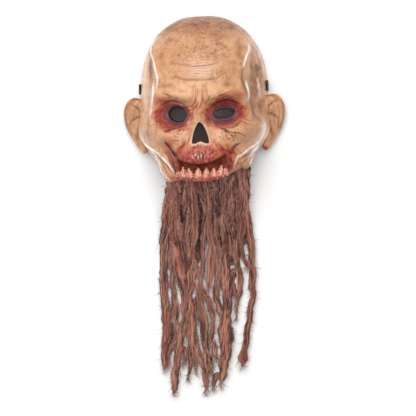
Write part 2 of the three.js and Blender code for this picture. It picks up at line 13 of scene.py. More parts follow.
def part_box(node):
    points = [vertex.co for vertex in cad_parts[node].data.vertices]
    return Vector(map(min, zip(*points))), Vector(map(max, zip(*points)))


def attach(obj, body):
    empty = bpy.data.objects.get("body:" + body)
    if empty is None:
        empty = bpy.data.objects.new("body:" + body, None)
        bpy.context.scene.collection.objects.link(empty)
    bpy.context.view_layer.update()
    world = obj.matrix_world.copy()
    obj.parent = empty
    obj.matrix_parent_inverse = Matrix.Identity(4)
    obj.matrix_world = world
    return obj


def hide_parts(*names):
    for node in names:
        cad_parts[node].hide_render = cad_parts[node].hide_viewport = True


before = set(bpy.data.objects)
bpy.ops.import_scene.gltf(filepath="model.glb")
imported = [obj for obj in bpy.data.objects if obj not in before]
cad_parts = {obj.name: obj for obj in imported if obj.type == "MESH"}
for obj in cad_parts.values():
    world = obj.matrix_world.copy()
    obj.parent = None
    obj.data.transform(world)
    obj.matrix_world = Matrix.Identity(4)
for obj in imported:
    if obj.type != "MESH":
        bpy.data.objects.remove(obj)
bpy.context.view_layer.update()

# Moulded shell: the smooth head.
# The mask is one sheet of vinyl, 2 mm thick, moulded as a bald head from the crown to the foot of the
# lower teeth. Its rim is flat round the crown and the temples and climbs along the torn jaw.
WALL = 2.0
FACE_HEIGHT = 102.0
CROWN_Y = 139.0
SIDE_ROUNDNESS = 2.2
TOP_ROUNDNESS = 2.1
RIM_CROWDING = 0.25
FACE_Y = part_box("mask_shell")[1].y * 1000 - CROWN_Y
CROWN_RIM = [(28, 136.5, 0), (55, 122.5, 0), (74, 101.5, 0), (85.5, 77, 0), (90.5, 53, 0), (92, 28, 0),
             (92.5, 4, 0), (95, -18, 0), (94, -31, 0)]
JAW_RIM_RIGHT = [(87, -44, 3), (79, -53, 12), (72, -64, 26), (67, -76, 40), (61, -82.5, 52), (53, -83, 62),
                 (42, -88.5, 70), (29, -95, 77), (12, -99.5, 80)]
JAW_RIM_LEFT = [(-87, -44, 3), (-81, -55, 12), (-73, -66, 24), (-65, -76, 36), (-60, -90, 46),
                (-49, -100, 57), (-38, -98.5, 68), (-26, -98, 76), (-12, -100, 80)]
CHIN_RIM = (0, -100.5, 80)
RIM_SAMPLES = 1440


def smooth(start, end, value):
    """0 before start, 1 after end, and an S-curve, 3t^2 - 2t^3, between them."""
    t = np.clip((value - start) / (end - start), 0, 1)
    return t * t * (3 - 2 * t)


def bell(value, middle, width):
    """Bell curve, e^-((value - middle) / width)^2: 1 at the middle and near 0 two widths away."""
    return np.exp(-(((value - middle) / width) ** 2))


def unit(vectors):
    """Vectors in the last axis, each divided by its own length."""
    return vectors / np.linalg.norm(vectors, axis=-1, keepdims=True)


def curve_through(points, samples, closed=False):
    """Smooth curve through points: a cubic from each to the next, whose slope at a point is half the
    step between its two neighbours."""
    points = np.asarray(points, float)
    if closed:
        slopes = (np.roll(points, -1, 0) - np.roll(points, 1, 0)) / 2
        place = np.arange(samples) * len(points) / samples
    else:
        ends = [2 * points[:1] - points[1:2], points, 2 * points[-1:] - points[-2:-1]]
        padded = np.concatenate(ends)
        slopes = (padded[2:] - padded[:-2]) / 2
        place = np.linspace(0, len(points) - 1, samples)
    first = np.minimum(place.astype(int), len(points) - (1 if closed else 2))
    second = (first + 1) % len(points)
    t = (place - first)[:, None]
    stay = 2 * t**3 - 3 * t**2 + 1
    return (stay * points[first] + (1 - stay) * points[second]
            + (t**3 - 2 * t**2 + t) * slopes[first] + (t**3 - t**2) * slopes[second])


mirrored_rim = [(-x, y, z) for x, y, z in reversed(CROWN_RIM)]
rim = curve_through([(0, CROWN_Y, 0), *CROWN_RIM, *JAW_RIM_RIGHT, CHIN_RIM, *reversed(JAW_RIM_LEFT),
                     *mirrored_rim], RIM_SAMPLES, closed=True)
rim = rim[np.argsort(np.arctan2(rim[:, 1], rim[:, 0]))]
rim_angle = np.arctan2(rim[:, 1], rim[:, 0])
rim_radius = np.hypot(rim[:, 0], rim[:, 1])
# A share s of the way to the rim lies at (1 + c) s - c s^5 of it, so the steep wall gets more cells.
share_table = np.linspace(0, 1, 2000)
out_table = (1 + RIM_CROWDING) * share_table - RIM_CROWDING * share_table**5


def rim_at(angle):
    """The rim's distance from the middle and its height, by the angle round the middle."""
    radius = np.interp(angle, rim_angle, rim_radius, period=2 * np.pi)
    height = np.interp(angle, rim_angle, rim[:, 2], period=2 * np.pi)
    return radius, np.maximum(0, height)


def head_level(x, y, z):
    """1 on the smooth head: the share of the way out to the rim to one power, plus the share of the
    way up to the face to another."""
    radius, foot = rim_at(np.arctan2(y, x))
    out = np.hypot(x, y) / radius
    return out**SIDE_ROUNDNESS + (np.abs(z - foot) / (FACE_HEIGHT - foot)) ** TOP_ROUNDNESS


def smooth_head(places):
    """Points and outward directions of the smooth head at places (u, v) of a square. The square is
    bent to a disc, x = u sqrt(1 - v^2 / 2), and the disc is stretched to the rim and lifted."""
    u, v = places[:, 0], places[:, 1]
    across, up = u * np.sqrt(1 - v * v / 2), v * np.sqrt(1 - u * u / 2)
    angle = np.arctan2(up, across)
    out = np.interp(np.minimum(1, np.hypot(across, up)), share_table, out_table)
    radius, foot = rim_at(angle)
    lift = np.maximum(0, 1 - out**SIDE_ROUNDNESS) ** (1 / TOP_ROUNDNESS)
    points = np.stack([out * radius * np.cos(angle), out * radius * np.sin(angle),
                       foot + (FACE_HEIGHT - foot) * lift], -1)
    step = 0.05
    slopes = []
    for axis in range(3):
        shift = np.zeros(3)
        shift[axis] = step
        slopes.append(head_level(*(points + shift).T) - head_level(*(points - shift).T))
    normals = np.stack(slopes, -1)
    normals[points[:, 2] < 0.01, 2] = 0
    return points, unit(normals)


def places_over(x, y):
    """Places (u, v) of the square whose points lie over (x, y): the way of smooth_head, backwards."""
    angle = np.arctan2(y, x)
    share = np.interp(np.hypot(x, y) / rim_at(angle)[0], out_table, share_table)
    across, up = share * np.cos(angle), share * np.sin(angle)
    root = 2 * math.sqrt(2)
    sides = [2 + across**2 - up**2, 2 - across**2 + up**2]
    found = [(np.sqrt(np.maximum(0, side + root * way)) - np.sqrt(np.maximum(0, side - root * way))) / 2
             for side, way in zip(sides, (across, up))]
    return np.stack(found, -1)


# Moulded shell: the face in relief.
# The features are moulded in the same sheet: brows, deep eye sockets, cheekbones, the raw upper gum
# over a sunken mouth, the torn corner of the mouth and the wrinkles. Each has its place in millimetres.
EYE_LEFT = {"x": -32, "y": -6, "half_width": 12.5, "half_height": 9.8, "droop": 0.1}
EYE_RIGHT = {"x": 33, "y": -6, "half_width": 14, "half_height": 5.8, "droop": -0.12}
# Rolled lid round each eye hole: how far out it lies, its rise and its width as a share of its radius.
EYELID = {"reach": 3, "rise": 1.6, "width": 0.24}
NOSE = {"top": -18.5, "bottom": -47, "half_width": 12, "notch": 2.4}
MOUTH = {"left": -35, "right": 36, "depth": 13, "gum_sag": 76, "gum_rise": 10, "foot": 99.5, "foot_rise": 9}
# Gum and raw flesh beside it, with their bumps, and the fine wrinkles across the forehead.
GUM = {"at": (-3, -64), "radii": (26, 12), "wave": 4.6}
RAW_FLESH = {"at": (38, -68), "radii": (14, 16), "turn": -0.3}
FOREHEAD = {"at": (1, 55), "radii": (25, 17), "bow": 0.004, "wave": 3.8, "depth": 0.26}
RELIEF_START = 12

# Soft mounds and hollows: place, radii, height, turn and power. These are mirrored to the other side.
MIRRORED_MOUNDS = [
    ((34, 20), (30, 9), 6.5, 0.2, 2),
    ((36, -5), (25, 17), -13, 0, 3),
    ((54, -33), (24, 12), 5, 0.35, 2),
    ((50, -62), (16, 12), -5, 0.9, 2),
    ((77, 40), (11, 34), -6.5, 0, 2),
    ((64, 55), (5, 40), 2.5, 0.05, 2),
    ((17, -38), (7, 12), -2.5, 0, 2),
]
# Creases: width, depth and line. The first ones are mirrored as well.
MIRRORED_CREASES = [
    (2.2, -2.6, [(7, 30), (6.5, 14), (4, 2)]),
    (4, -2.5, [(12, 8), (13, -8), (16, -20)]),
    (3, -2, [(14, -22), (28, -31), (48, -30)]),
]
MIDDLE_MOUNDS = [
    ((0, -8), (9, 16), 6.5, 0, 2),
    ((0, -16), (9, 5), 2.5, 0, 2),
    ((-3, -63), (27, 12), 6.5, 0, 2),
    ((0, 55), (40, 25), 1.5, 0, 2),
]
BROAD_CREASES = [
    (2.4, -1.1, [(-34, 45), (-12, 41), (12, 41), (34, 45)]),
    (2.4, -0.8, [(-34, 67), (-8, 61), (30, 66)]),
    (4.2, -6, [(-49, -45), (-42, -56), (-34, -68)]),
    (2.4, -3.5, [(-46, -66), (-40, -82), (-35, -94)]),
    (2.4, -2.5, [(-55, -66), (-49, -80), (-40, -95)]),
    (2.4, -2.5, [(-27, -56), (-21, -44)]),
    (2.6, -3, [(41, -66), (44, -57), (56, -48)]),
    (5, 3.5, [(57, -74), (60, -79)]),
]
# Fine wrinkles: the paint that settles in them, their width, their depth and their line.
FINE_CREASES = [
    ("blood", 1.7, -1.8, [(-58.5, 1.5), (-53, 8), (-44.5, 11.5), (-37.5, 12.5), (-29, 10.5), (-22.5, 6.5),
                          (-18, 1)]),
    ("red", 1.2, -1.0, [(-53, 24.5), (-43.5, 20.5), (-33.5, 15)]),
    ("blood", 1.2, -1.1, [(-62, -2.5), (-63, -9.5), (-62.5, -17.5), (-61, -24)]),
    ("red", 1.2, -0.8, [(-58, -6), (-58.5, -14), (-56, -21)]),
    ("blood", 1.3, -1.3, [(-57, -24.5), (-48, -30), (-40.5, -27), (-31.5, -25), (-23, -20.5),
                          (-16.5, -14.5)]),
    ("red", 1.1, -0.9, [(-50, -24), (-38, -22.5), (-27, -20.5), (-18, -14), (-12, -6)]),
    ("bruise", 1.0, -0.9, [(-47.5, -12.5), (-41.5, -17.5), (-35, -19.5), (-27, -18), (-21.5, -13),
                           (-19, -7)]),
    ("red", 1.3, -1.6, [(-5, 25), (-4.8, 14), (-6.5, 8), (-10.5, 4), (-16, 3)]),
    ("red", 1.2, -1.4, [(-0.5, 10.5), (-3, 5.5), (-8, 0.5), (-13.5, -1)]),
    ("brown", 1.0, -0.8, [(-2, 29), (-1.8, 15)]),
    ("red", 1.1, -1.2, [(5, 24.5), (5, 15), (6, 9), (9.5, 4.5)]),
    ("brown", 1.0, -0.9, [(10.3, 31), (10.7, 24), (12.3, 16), (15.5, 12.5)]),
    ("red", 1.0, -1.0, [(3.5, 10), (1.5, 4), (-1, -1)]),
    ("red", 1.1, -0.9, [(25.5, 16), (35.5, 19.5), (45.5, 23.5)]),
    ("red", 1.0, -0.8, [(24, 13), (34, 15.5), (43, 19.5)]),
    ("red", 1.3, -1.2, [(8, 2), (17, 6.5), (25, 9), (32.5, 11), (40, 14), (46, 16)]),
    ("blood", 1.9, -2.0, [(17, 0.5), (22.5, 7), (29.5, 10), (37.5, 11.5), (44.5, 10.5), (53, 7), (58, 4)]),
    ("bruise", 1.2, -1.1, [(18, -2), (23, 2), (29.5, 3.5), (37, 3.5), (45.5, 0), (51, -4)]),
    ("bruise", 1.1, -1.0, [(18.5, -6.5), (22, -11), (27.5, -14.5), (34, -17), (41.5, -16), (49, -12)]),
    ("blood", 1.2, -1.4, [(11, -11), (12.5, -16), (15, -21)]),
    ("red", 1.2, -1.1, [(8.5, -10), (9.5, -18), (13, -26)]),
    ("blood", 1.4, -1.6, [(20, -19.5), (26.5, -25), (34, -29.5), (42.5, -33), (52.5, -34.5), (64, -40.5)]),
    ("red", 1.1, -1.0, [(31.5, -28.5), (38, -33.5), (43, -37.5), (49, -37.5)]),
    ("red", 1.1, -0.9, [(53, -4), (62, -9)]),
    ("red", 1.0, -0.8, [(54, -8.5), (63, -13)]),
    ("red", 1.1, -0.9, [(55, -11.5), (62.5, -15), (71, -18.5)]),
    ("brown", 1.0, -0.7, [(53.5, -16), (61, -20), (69, -23)]),
    ("blood", 1.3, -1.2, [(57, -15), (54, -20), (48.5, -25), (42.5, -27), (36, -26.5)]),
    ("brown", 2.2, -1.3, [(61.5, 62), (59.5, 50), (58.5, 43), (61, 33), (67, 17.5), (71, 3), (73.5, -8),
                          (78, -14), (84, -19)]),
    ("blood", 1.3, -2.4, [(-50.5, -42), (-45, -51.5), (-39.5, -58.5), (-34.5, -65)]),
    ("blood", 1.2, -1.4, [(-54, -51.5), (-48, -63.5), (-42.5, -76.5), (-37, -90)]),
    ("blood", 1.1, -1.5, [(-47.5, -55), (-42.5, -66), (-39, -78), (-35.5, -89)]),
    ("red", 1.1, -1.0, [(-50.5, -53), (-45.5, -65), (-41, -78), (-36.5, -89.5)]),
    ("brown", 1.4, -1.6, [(-62, -62), (-52, -74), (-43.5, -88)]),
    ("brown", 1.3, -1.2, [(-69, -56), (-60, -66), (-53, -80), (-47, -92)]),
    ("blood", 1.2, -1.5, [(-21, -45.5), (-24.5, -50.5), (-29, -55)]),
    ("red", 1.1, -1.0, [(-14.5, -36), (-17, -44), (-20, -50)]),
    ("red", 1.3, -1.3, [(24.5, -49), (31.5, -57), (42, -62)]),
    ("red", 1.0, -0.9, [(17, -42), (22, -50), (27, -59)]),
    ("blood", 1.3, -1.4, [(55.5, -47.5), (49.5, -50), (45, -54.5), (43, -59)]),
    ("brown", 1.3, -1.5, [(46, -81), (49, -71), (54, -63.5), (62.5, -59), (73, -53)]),
    ("brown", 1.2, -1.2, [(50, -73), (62, -64.5), (73.5, -59)]),
    ("brown", 1.1, -1.0, [(54, -79), (60, -72), (69, -66)]),
    ("brown", 1.1, -0.8, [(-34, 46), (-26, 42.5), (-12, 40.5), (10, 40), (25.5, 42.5), (33, 47)]),
    ("brown", 1.1, -0.7, [(-30, 65), (-17, 62), (0, 59.5), (19, 62), (32, 66.5)]),
    ("none", 1.0, -0.6, [(-22, 67.5), (-8, 68.5), (13.5, 70.5), (27, 68)]),
]
# Sharp bony lines, moulded proud: width, height and line.
RIDGES = [
    (1.4, 1.6, [(-58, 108), (-66.5, 103.5), (-70.5, 95), (-71, 84.5), (-65.5, 71.5), (-62.5, 57),
                (-59.5, 46), (-60, 37), (-62, 29)]),
    (1.5, 1.2, [(-65.5, 42), (-66.5, 33), (-66.5, 25), (-68.5, 15), (-71, 3), (-73.5, -10)]),
    (1.5, 1.4, [(68, 94), (68.5, 84), (66, 76), (63, 65), (61, 58)]),
    (1.5, 1.3, [(64, 38), (66.5, 28), (67.5, 20), (66.5, 11)]),
    (1.2, 1.0, [(79, 46), (81, 30), (81, 16)]),
    (1.6, 1.7, [(-91, -18), (-93, -27), (-91, -34), (-84.5, -44), (-78, -49), (-67, -56), (-57.5, -64.5),
                (-48, -74), (-41.5, -83), (-38.5, -91)]),
    (1.3, 1.1, [(-77, -51), (-69.5, -58), (-64, -67), (-59, -76)]),
    (1.2, 1.0, [(-69, -64), (-61.5, -76), (-59, -83.5), (-52, -92), (-45, -97)]),
    (1.5, 1.6, [(84.5, -22), (86, -33), (81.5, -41.5), (74, -49.5), (66, -55.5), (57, -62.5), (50.5, -67),
                (47, -74.5), (44, -82)]),
    (1.9, 1.4, [(79, -48), (77.5, -50.5), (73, -56.5), (70, -60), (63.5, -71)]),
    (1.2, 0.9, [(72, -61), (68, -71), (65.5, -79)]),
]
# Eye sockets: middle, radii and turn of the reddened hollow, left and right.
SOCKETS = [((-38.5, -6), (26, 22), -0.18), ((33.5, -3.5), (28, 22), 0.2)]
SOCKET_RINGS = 5.5
# Fields of slack skin with many small wrinkles: place, radii, direction, depth, and whether mirrored.
WRINKLED = [
    ((46, -36), (24, 12), -0.43, 0.36, True),
    ((56, -72), (14, 22), -1.05, 0.7, True),
    ((77, 22), (9, 62), 1.57, 0.5, True),
    ((0, 57), (30, 22), 0.0, 0.3, False),
    ((28, 27), (20, 7), 0.3, 0.25, True),
    ((14, 96), (34, 26), 0.9, 0.3, False),
    ((-40, 92), (24, 24), -0.8, 0.22, False),
]


def ellipse_radius(x, y, middle, radii, turn):
    """Distance from the middle of a turned ellipse, counted in its radii."""
    dx, dy = x - middle[0], y - middle[1]
    along = (dx * math.cos(turn) + dy * math.sin(turn)) / radii[0]
    across = (dy * math.cos(turn) - dx * math.sin(turn)) / radii[1]
    return np.hypot(along, across)


def soft_mound(x, y, at, radii, height, turn=0, power=2):
    """Height times e to the minus distance, counted in the radii of an ellipse, to a power."""
    return height * np.exp(-ellipse_radius(x, y, at, radii, turn) ** power)


def beside_line(x, y, line):
    """Distance to a line of points, and how far along it, 0 to 1, the nearest place is."""
    nearest = np.full(np.shape(x), np.inf)
    along = np.zeros(np.shape(x))
    for k, ((ax, ay), (bx, by)) in enumerate(zip(line[:-1], line[1:])):
        dx, dy = bx - ax, by - ay
        t = np.clip(((x - ax) * dx + (y - ay) * dy) / (dx * dx + dy * dy), 0, 1)
        distance = np.hypot(x - ax - t * dx, y - ay - t * dy)
        closer = distance < nearest
        nearest = np.where(closer, distance, nearest)
        along = np.where(closer, (k + t) / (len(line) - 1), along)
    return nearest, along


def bell_along(x, y, width, line):
    """A bell across a smooth line, e^-(distance / width)^2, that fades out at the line's two ends."""
    distance, along = beside_line(x, y, curve_through(line, 6 * len(line)))
    return bell(distance, 0, width) * np.sqrt(np.sin(np.pi * np.clip(along, 0.02, 0.98)))


def blend_noise(x, y, size, seed):
    """Smooth noise from -1 to 1: random values on a square lattice, blended by S-curves."""
    table = np.random.default_rng(seed).uniform(-1, 1, (64, 64))
    column, row = np.floor(x / size).astype(int), np.floor(y / size).astype(int)
    s, t = smooth(0, 1, x / size - column), smooth(0, 1, y / size - row)
    corner = [[table[(row + b) % 64, (column + a) % 64] for a in (0, 1)] for b in (0, 1)]
    low = corner[0][0] * (1 - s) + corner[0][1] * s
    high = corner[1][0] * (1 - s) + corner[1][1] * s
    return low * (1 - t) + high * t


def gum_edge(x):
    """Lower edge of the raw upper gum: a sagging parabola."""
    return -MOUTH["gum_sag"] + MOUTH["gum_rise"] * ((x + 4) / 34) ** 2


def teeth_foot(x):
    """Line at the foot of the teeth: a parabola that rises towards both corners."""
    return -MOUTH["foot"] + MOUTH["foot_rise"] * (x / 34) ** 2


def mouth_share(x, y):
    """1 in the sunken mouth between the gum and the teeth's foot, and 0 outside, with soft sides."""
    sunk = smooth(2, -6, y - gum_edge(x)) * smooth(1, 9, y - teeth_foot(x))
    left = smooth(MOUTH["left"] - 2, MOUTH["left"] + 7, x)
    return sunk * left * smooth(MOUTH["right"] + 2, MOUTH["right"] - 7, x)


def turned_radius(x, y, middle, radii, turn):
    """Distance from the middle of a turned ellipse, counted in its radii, with an uneven outline."""
    uneven = 1 + 0.1 * blend_noise(x, y, 9, 5) + 0.05 * blend_noise(x, y, 3, 6)
    return ellipse_radius(x, y, middle, radii, turn) * uneven


def drawn_noise(x, y, turn, short, long, seed):
    """Noise drawn out along a direction: long along it, short across it."""
    along = x * math.cos(turn) + y * math.sin(turn)
    across = y * math.cos(turn) - x * math.sin(turn)
    return blend_noise(along * short / long, across, short, seed)


def broad_relief(x, y):
    """The features that show from a step away, as in the solid shell, with creases that fade out."""
    height = np.zeros(np.shape(x))
    for at, radii, rise, turn, power in MIRRORED_MOUNDS:
        height += soft_mound(np.abs(x), y, at, radii, rise, turn, power)
    for width, rise, line in MIRRORED_CREASES:
        height += rise * bell(beside_line(np.abs(x), y, line)[0], 0, width)
    for at, radii, rise, turn, power in MIDDLE_MOUNDS:
        height += soft_mound(x, y, at, radii, rise, turn, power)
    for width, rise, line in BROAD_CREASES:
        height += rise * bell_along(x, y, width, line)
    return height - MOUTH["depth"] * mouth_share(x, y)


def forehead_waves(x, y):
    """Crests and troughs, from 1 to -1, of the fine wrinkles that cross the middle of the forehead."""
    region = soft_mound(x, y, FOREHEAD["at"], FOREHEAD["radii"], 1, 0, 4)
    bow = y - FOREHEAD["bow"] * x * x + 1.6 * blend_noise(x, y, 12, 21)
    return region * np.sin(2 * np.pi * bow / FOREHEAD["wave"]) * (0.6 + 0.4 * blend_noise(x, y, 7, 22))


def socket_rings(x, y, middle, radii, turn):
    """Crests and troughs, from 1 to -1, of the wrinkles that run round an eye socket."""
    radius = turned_radius(x, y, middle, radii, turn)
    band = smooth(0.45, 0.6, radius) * smooth(1.3, 1.0, radius)
    shift = 3.4 * blend_noise(x, y, 11, 11) + 1.5 * blend_noise(x, y, 4, 12)
    return band * np.sin(2 * np.pi * SOCKET_RINGS * radius + shift)


def fine_relief(x, y):
    """Eyelids, wrinkles, bony lines, bumps of the gum and the unevenness of the skin."""
    height = np.zeros(np.shape(x))
    for eye in (EYE_LEFT, EYE_RIGHT):
        radii = eye["half_width"] + EYELID["reach"], eye["half_height"] + EYELID["reach"]
        radius = ellipse_radius(x, y, (eye["x"], eye["y"]), radii, 0)
        height += EYELID["rise"] * bell(radius, 1, EYELID["width"])
    for _, width, depth, line in FINE_CREASES:
        height += depth * bell_along(x, y, width, line)
        height -= 0.3 * depth * bell_along(x, y, 2.4 * width, line)
    for width, rise, line in RIDGES:
        height += rise * bell_along(x, y, width, line)
    for socket in SOCKETS:
        height += 0.25 * socket_rings(x, y, *socket)
    for at, radii, turn, strength, mirrored in WRINKLED:
        side = np.abs(x) if mirrored else x
        region = soft_mound(side, y, at, radii, strength, 0, 4)
        height += region * drawn_noise(side, y, turn, 1.8, 15, 23)
        height += 0.5 * region * drawn_noise(side, y, turn + 0.2, 1.2, 8, 24)
    height += FOREHEAD["depth"] * forehead_waves(x, y)
    gum = soft_mound(x, y, GUM["at"], GUM["radii"], 1, 0, 3)
    flutes = np.sin(2 * np.pi * x / GUM["wave"] + 3 * blend_noise(x, y, 6, 31))
    height += gum * (0.6 * flutes * smooth(-54, -60, y) + 0.9 * blend_noise(x, y, 2.6, 32))
    raw = soft_mound(x, y, RAW_FLESH["at"], RAW_FLESH["radii"], 1, RAW_FLESH["turn"], 3)
    height += 0.7 * raw * blend_noise(x, y, 3.0, 33)
    height += mouth_share(x, y) * 0.8 * blend_noise(x, y, 4, 34)
    return height + 0.25 * blend_noise(x, y, 10, 41) + 0.1 * blend_noise(x, y, 3.5, 42)


# Moulded shell: openings and cells.
# The eye holes, the nose opening and a slot at each temple are cut through the sheet. The cells round
# each cut run from its outline out to a block of the head's own cells.
# Cells across and up the whole head, rings of cells round each cut, and how far its block passes it.
CELLS = (230, 270)
RINGS = 14
CUT_MARGIN = 0.03
# The slots' run in y and z, and the columns that the block round one takes out of the head's side.
SLOT = {"y": 36, "z": 7, "half_width": 8.75, "half_height": 1.5}
SLOT_COLUMNS = [2, 8]
EYE_STEPS = 180
SLOT_STEPS = 120


def grid_lines(cells, density):
    """Places of the cells' edges from -1 to 1, closer together where the density is higher."""
    place = np.linspace(-1, 1, 4001)
    weight = density(place)
    total = np.concatenate([[0], np.cumsum((weight[1:] + weight[:-1]) / 2)])
    return np.interp(np.linspace(0, total[-1], cells + 1), total, place)


def column_density(u):
    """Columns lie closest in the face, from temple to temple, and in the steep wall at both sides."""
    return 0.33 + 0.67 * smooth(0.66, 0.5, np.abs(u)) + 0.9 * bell(np.abs(u), 1, 0.05)


def row_density(v):
    """Rows lie closest below the forehead's middle, and again in its crosswise wrinkles."""
    return 0.4 + 0.6 * smooth(0.56, 0.42, v) + 0.35 * np.exp(-(((v - 0.28) / 0.16) ** 4))


column_lines = grid_lines(CELLS[0], column_density)
row_lines = grid_lines(CELLS[1], row_density)


def eye_outline(eye):
    """Almond: an ellipse pinched to points at its corners and sheared so that it droops."""
    angle = 2 * np.pi * np.arange(EYE_STEPS) / EYE_STEPS
    pinch = np.abs(np.sin(angle)) ** 0.25
    across = eye["half_width"] * np.cos(angle)
    return eye["x"] + across, eye["y"] + eye["half_height"] * np.sin(angle) * pinch - eye["droop"] * across


def nose_outline():
    """Nose opening: narrow and round at the top, with two lobes at the foot and a notch between."""
    t = np.linspace(0, 1, 40)
    depth = NOSE["bottom"] - NOSE["top"]
    side_x = NOSE["half_width"] * t**0.62
    side_y = NOSE["top"] + depth * (0.35 * (1 - np.sqrt(1 - 0.999 * t * t)) + 0.65 * t)
    lobe = np.array([(0.93, -0.6), (0.62, -0.9), (0.3, 0.9)])
    right_x = np.concatenate([side_x, NOSE["half_width"] * lobe[:, 0]])
    right_y = np.concatenate([side_y, NOSE["bottom"] + lobe[:, 1]])
    x = np.concatenate([-right_x[1:], [0], right_x[:0:-1]])
    y = np.concatenate([right_y[1:], [NOSE["bottom"] + NOSE["notch"]], right_y[:0:-1]])
    return np.append(x, 0), np.append(y, NOSE["top"])


def slot_outline(side):
    """Places of a rounded slot on the steep side of the head, from its run in y and z."""
    angle = 2 * np.pi * np.arange(SLOT_STEPS) / SLOT_STEPS
    y = SLOT["y"] + SLOT["half_width"] * np.sign(np.cos(angle)) * np.abs(np.cos(angle)) ** 0.35
    z = SLOT["z"] + SLOT["half_height"] * np.sign(np.sin(angle)) * np.abs(np.sin(angle)) ** 0.35
    out = (1 - (z / FACE_HEIGHT) ** TOP_ROUNDNESS) ** (1 / SIDE_ROUNDNESS)
    x = np.full(SLOT_STEPS, 90.0)
    for _ in range(4):
        radius = out * rim_at(np.arctan2(y, side * x))[0]
        x = np.sqrt(radius**2 - y**2)
    return side * x, y


def block_round(outline, margin):
    """Even-numbered grid lines round an outline of places: first and last column, first and last row."""
    low, high = outline.min(0) - margin, outline.max(0) + margin
    edges = []
    for lines, first, last in zip((column_lines, row_lines), low, high):
        edges += [2 * (np.searchsorted(lines, first) // 2), 2 * ((np.searchsorted(lines, last) + 1) // 2)]
    return edges


def walk_round(block):
    """Numbers on the border of a block of grid points, once round, counterclockwise."""
    return np.concatenate([block[0, :-1], block[:-1, -1], block[-1, :0:-1], block[:0:-1, 0]])


def broad_skin(places):
    """The smooth head moved outwards by its broad relief: points, outward directions, and the share of
    the relief that is left near the rim."""
    points, normals = smooth_head(places)
    share = smooth(0, RELIEF_START, points[:, 2])
    height = broad_relief(points[:, 0], points[:, 1]) * share
    return points + normals * height[:, None], normals, share


def places_under(x, y):
    """Places whose points on the broad skin lie over (x, y). The relief moves points sideways where
    the head slopes, so each round shifts the aim by what it missed."""
    aim = np.stack([x, y], -1)
    for _ in range(12):
        found = places_over(aim[:, 0], aim[:, 1])
        aim += np.stack([x, y], -1) - broad_skin(found)[0][:, :2]
    return found


def make_openings():
    """Each opening as its outline of places and the block of cells that it takes out."""
    found = []
    for x, y in (eye_outline(EYE_LEFT), eye_outline(EYE_RIGHT), nose_outline()):
        outline = places_under(x, y)
        found.append((outline, block_round(outline, CUT_MARGIN)))
    for side in (-1, 1):
        outline = places_over(*slot_outline(side))
        columns = SLOT_COLUMNS if side < 0 else [CELLS[0] - column for column in reversed(SLOT_COLUMNS)]
        found.append((outline, columns + block_round(outline, CUT_MARGIN)[2:]))
    return found


openings = make_openings()


def tube_cells(number, reverse=False):
    """Four-cornered cells between rings of point numbers, whose last two axes are the ring and the
    place round it. Reverse runs round each cell the other way."""
    beside = np.roll(number, -1, -1)
    corners = [number[..., :-1, :], beside[..., :-1, :], beside[..., 1:, :], number[..., 1:, :]]
    if reverse:
        corners = [corners[0], corners[3], corners[2], corners[1]]
    return np.stack(corners, -1).reshape(-1, 4)


def skin_cells(stride):
    """One skin of the shell, with cells stride times as large: the places of its points, its
    four-cornered cells, and the loops of points round the rim and each opening."""
    columns, rows = column_lines[::stride], row_lines[::stride]
    places = np.stack(np.meshgrid(columns, rows), -1).reshape(-1, 2)
    number = np.arange(len(places)).reshape(len(rows), len(columns))
    kept = np.ones((len(rows) - 1, len(columns) - 1), bool)
    loops, extra_places, extra_cells, count = [walk_round(number)], [], [], len(places)
    for outline, block in openings:
        left, right, low, high = (int(edge) // stride for edge in block)
        kept[low:high, left:right] = False
        border = walk_round(number[low:high + 1, left:right + 1])
        middle, half = (outline.max(0) + outline.min(0)) / 2, np.ptp(outline, axis=0) / 2
        turned = (outline - middle) / half
        angle = np.arctan2(turned[:, 1], turned[:, 0])
        order = np.argsort(angle)
        reach = np.hypot(turned[:, 0], turned[:, 1])
        box_middle = places[border].max(0) / 2 + places[border].min(0) / 2
        start = (places[border] - box_middle) / half
        way = np.arctan2(start[:, 1], start[:, 0])
        radius = np.interp(way, angle[order], reach[order], period=2 * np.pi)
        edge = middle + half * radius[:, None] * np.stack([np.cos(way), np.sin(way)], -1)
        rings = RINGS // stride
        share = (np.arange(1, rings + 1) / rings)[:, None, None] ** 0.8
        extra_places.append((places[border] * (1 - share) + edge * share).reshape(-1, 2))
        ring_numbers = np.concatenate([[border], count + np.arange(rings * len(border)).reshape(rings, -1)])
        extra_cells.append(tube_cells(ring_numbers))
        loops.append(ring_numbers[-1])
        count += rings * len(border)
    corners = np.stack([number[:-1, :-1], number[:-1, 1:], number[1:, 1:], number[1:, :-1]], -1)
    return np.concatenate([places, *extra_places]), np.concatenate([corners[kept], *extra_cells]), loops


def outer_skin(places):
    """Points of the painted side: the broad skin, moved outwards by the fine relief."""
    points, normals, share = broad_skin(places)
    height = fine_relief(points[:, 0], points[:, 1]) * share
    return points + normals * height[:, None]


def inner_skin(places):
    """Points of the bare side: a wall's thickness under the lowest relief within a reach of 2 mm."""
    points, normals = smooth_head(places)
    reach = 2.0
    low = np.full(len(points), np.inf)
    for dx in (-reach, 0, reach):
        for dy in (-reach, 0, reach):
            low = np.minimum(low, broad_relief(points[:, 0] + dx, points[:, 1] + dy))
    height = low * smooth(0, RELIEF_START, points[:, 2]) - WALL
    moved = points + normals * height[:, None]
    moved[:, 2] = np.maximum(moved[:, 2], np.where(points[:, 2] < 0.01, 0, 0.5))
    return moved


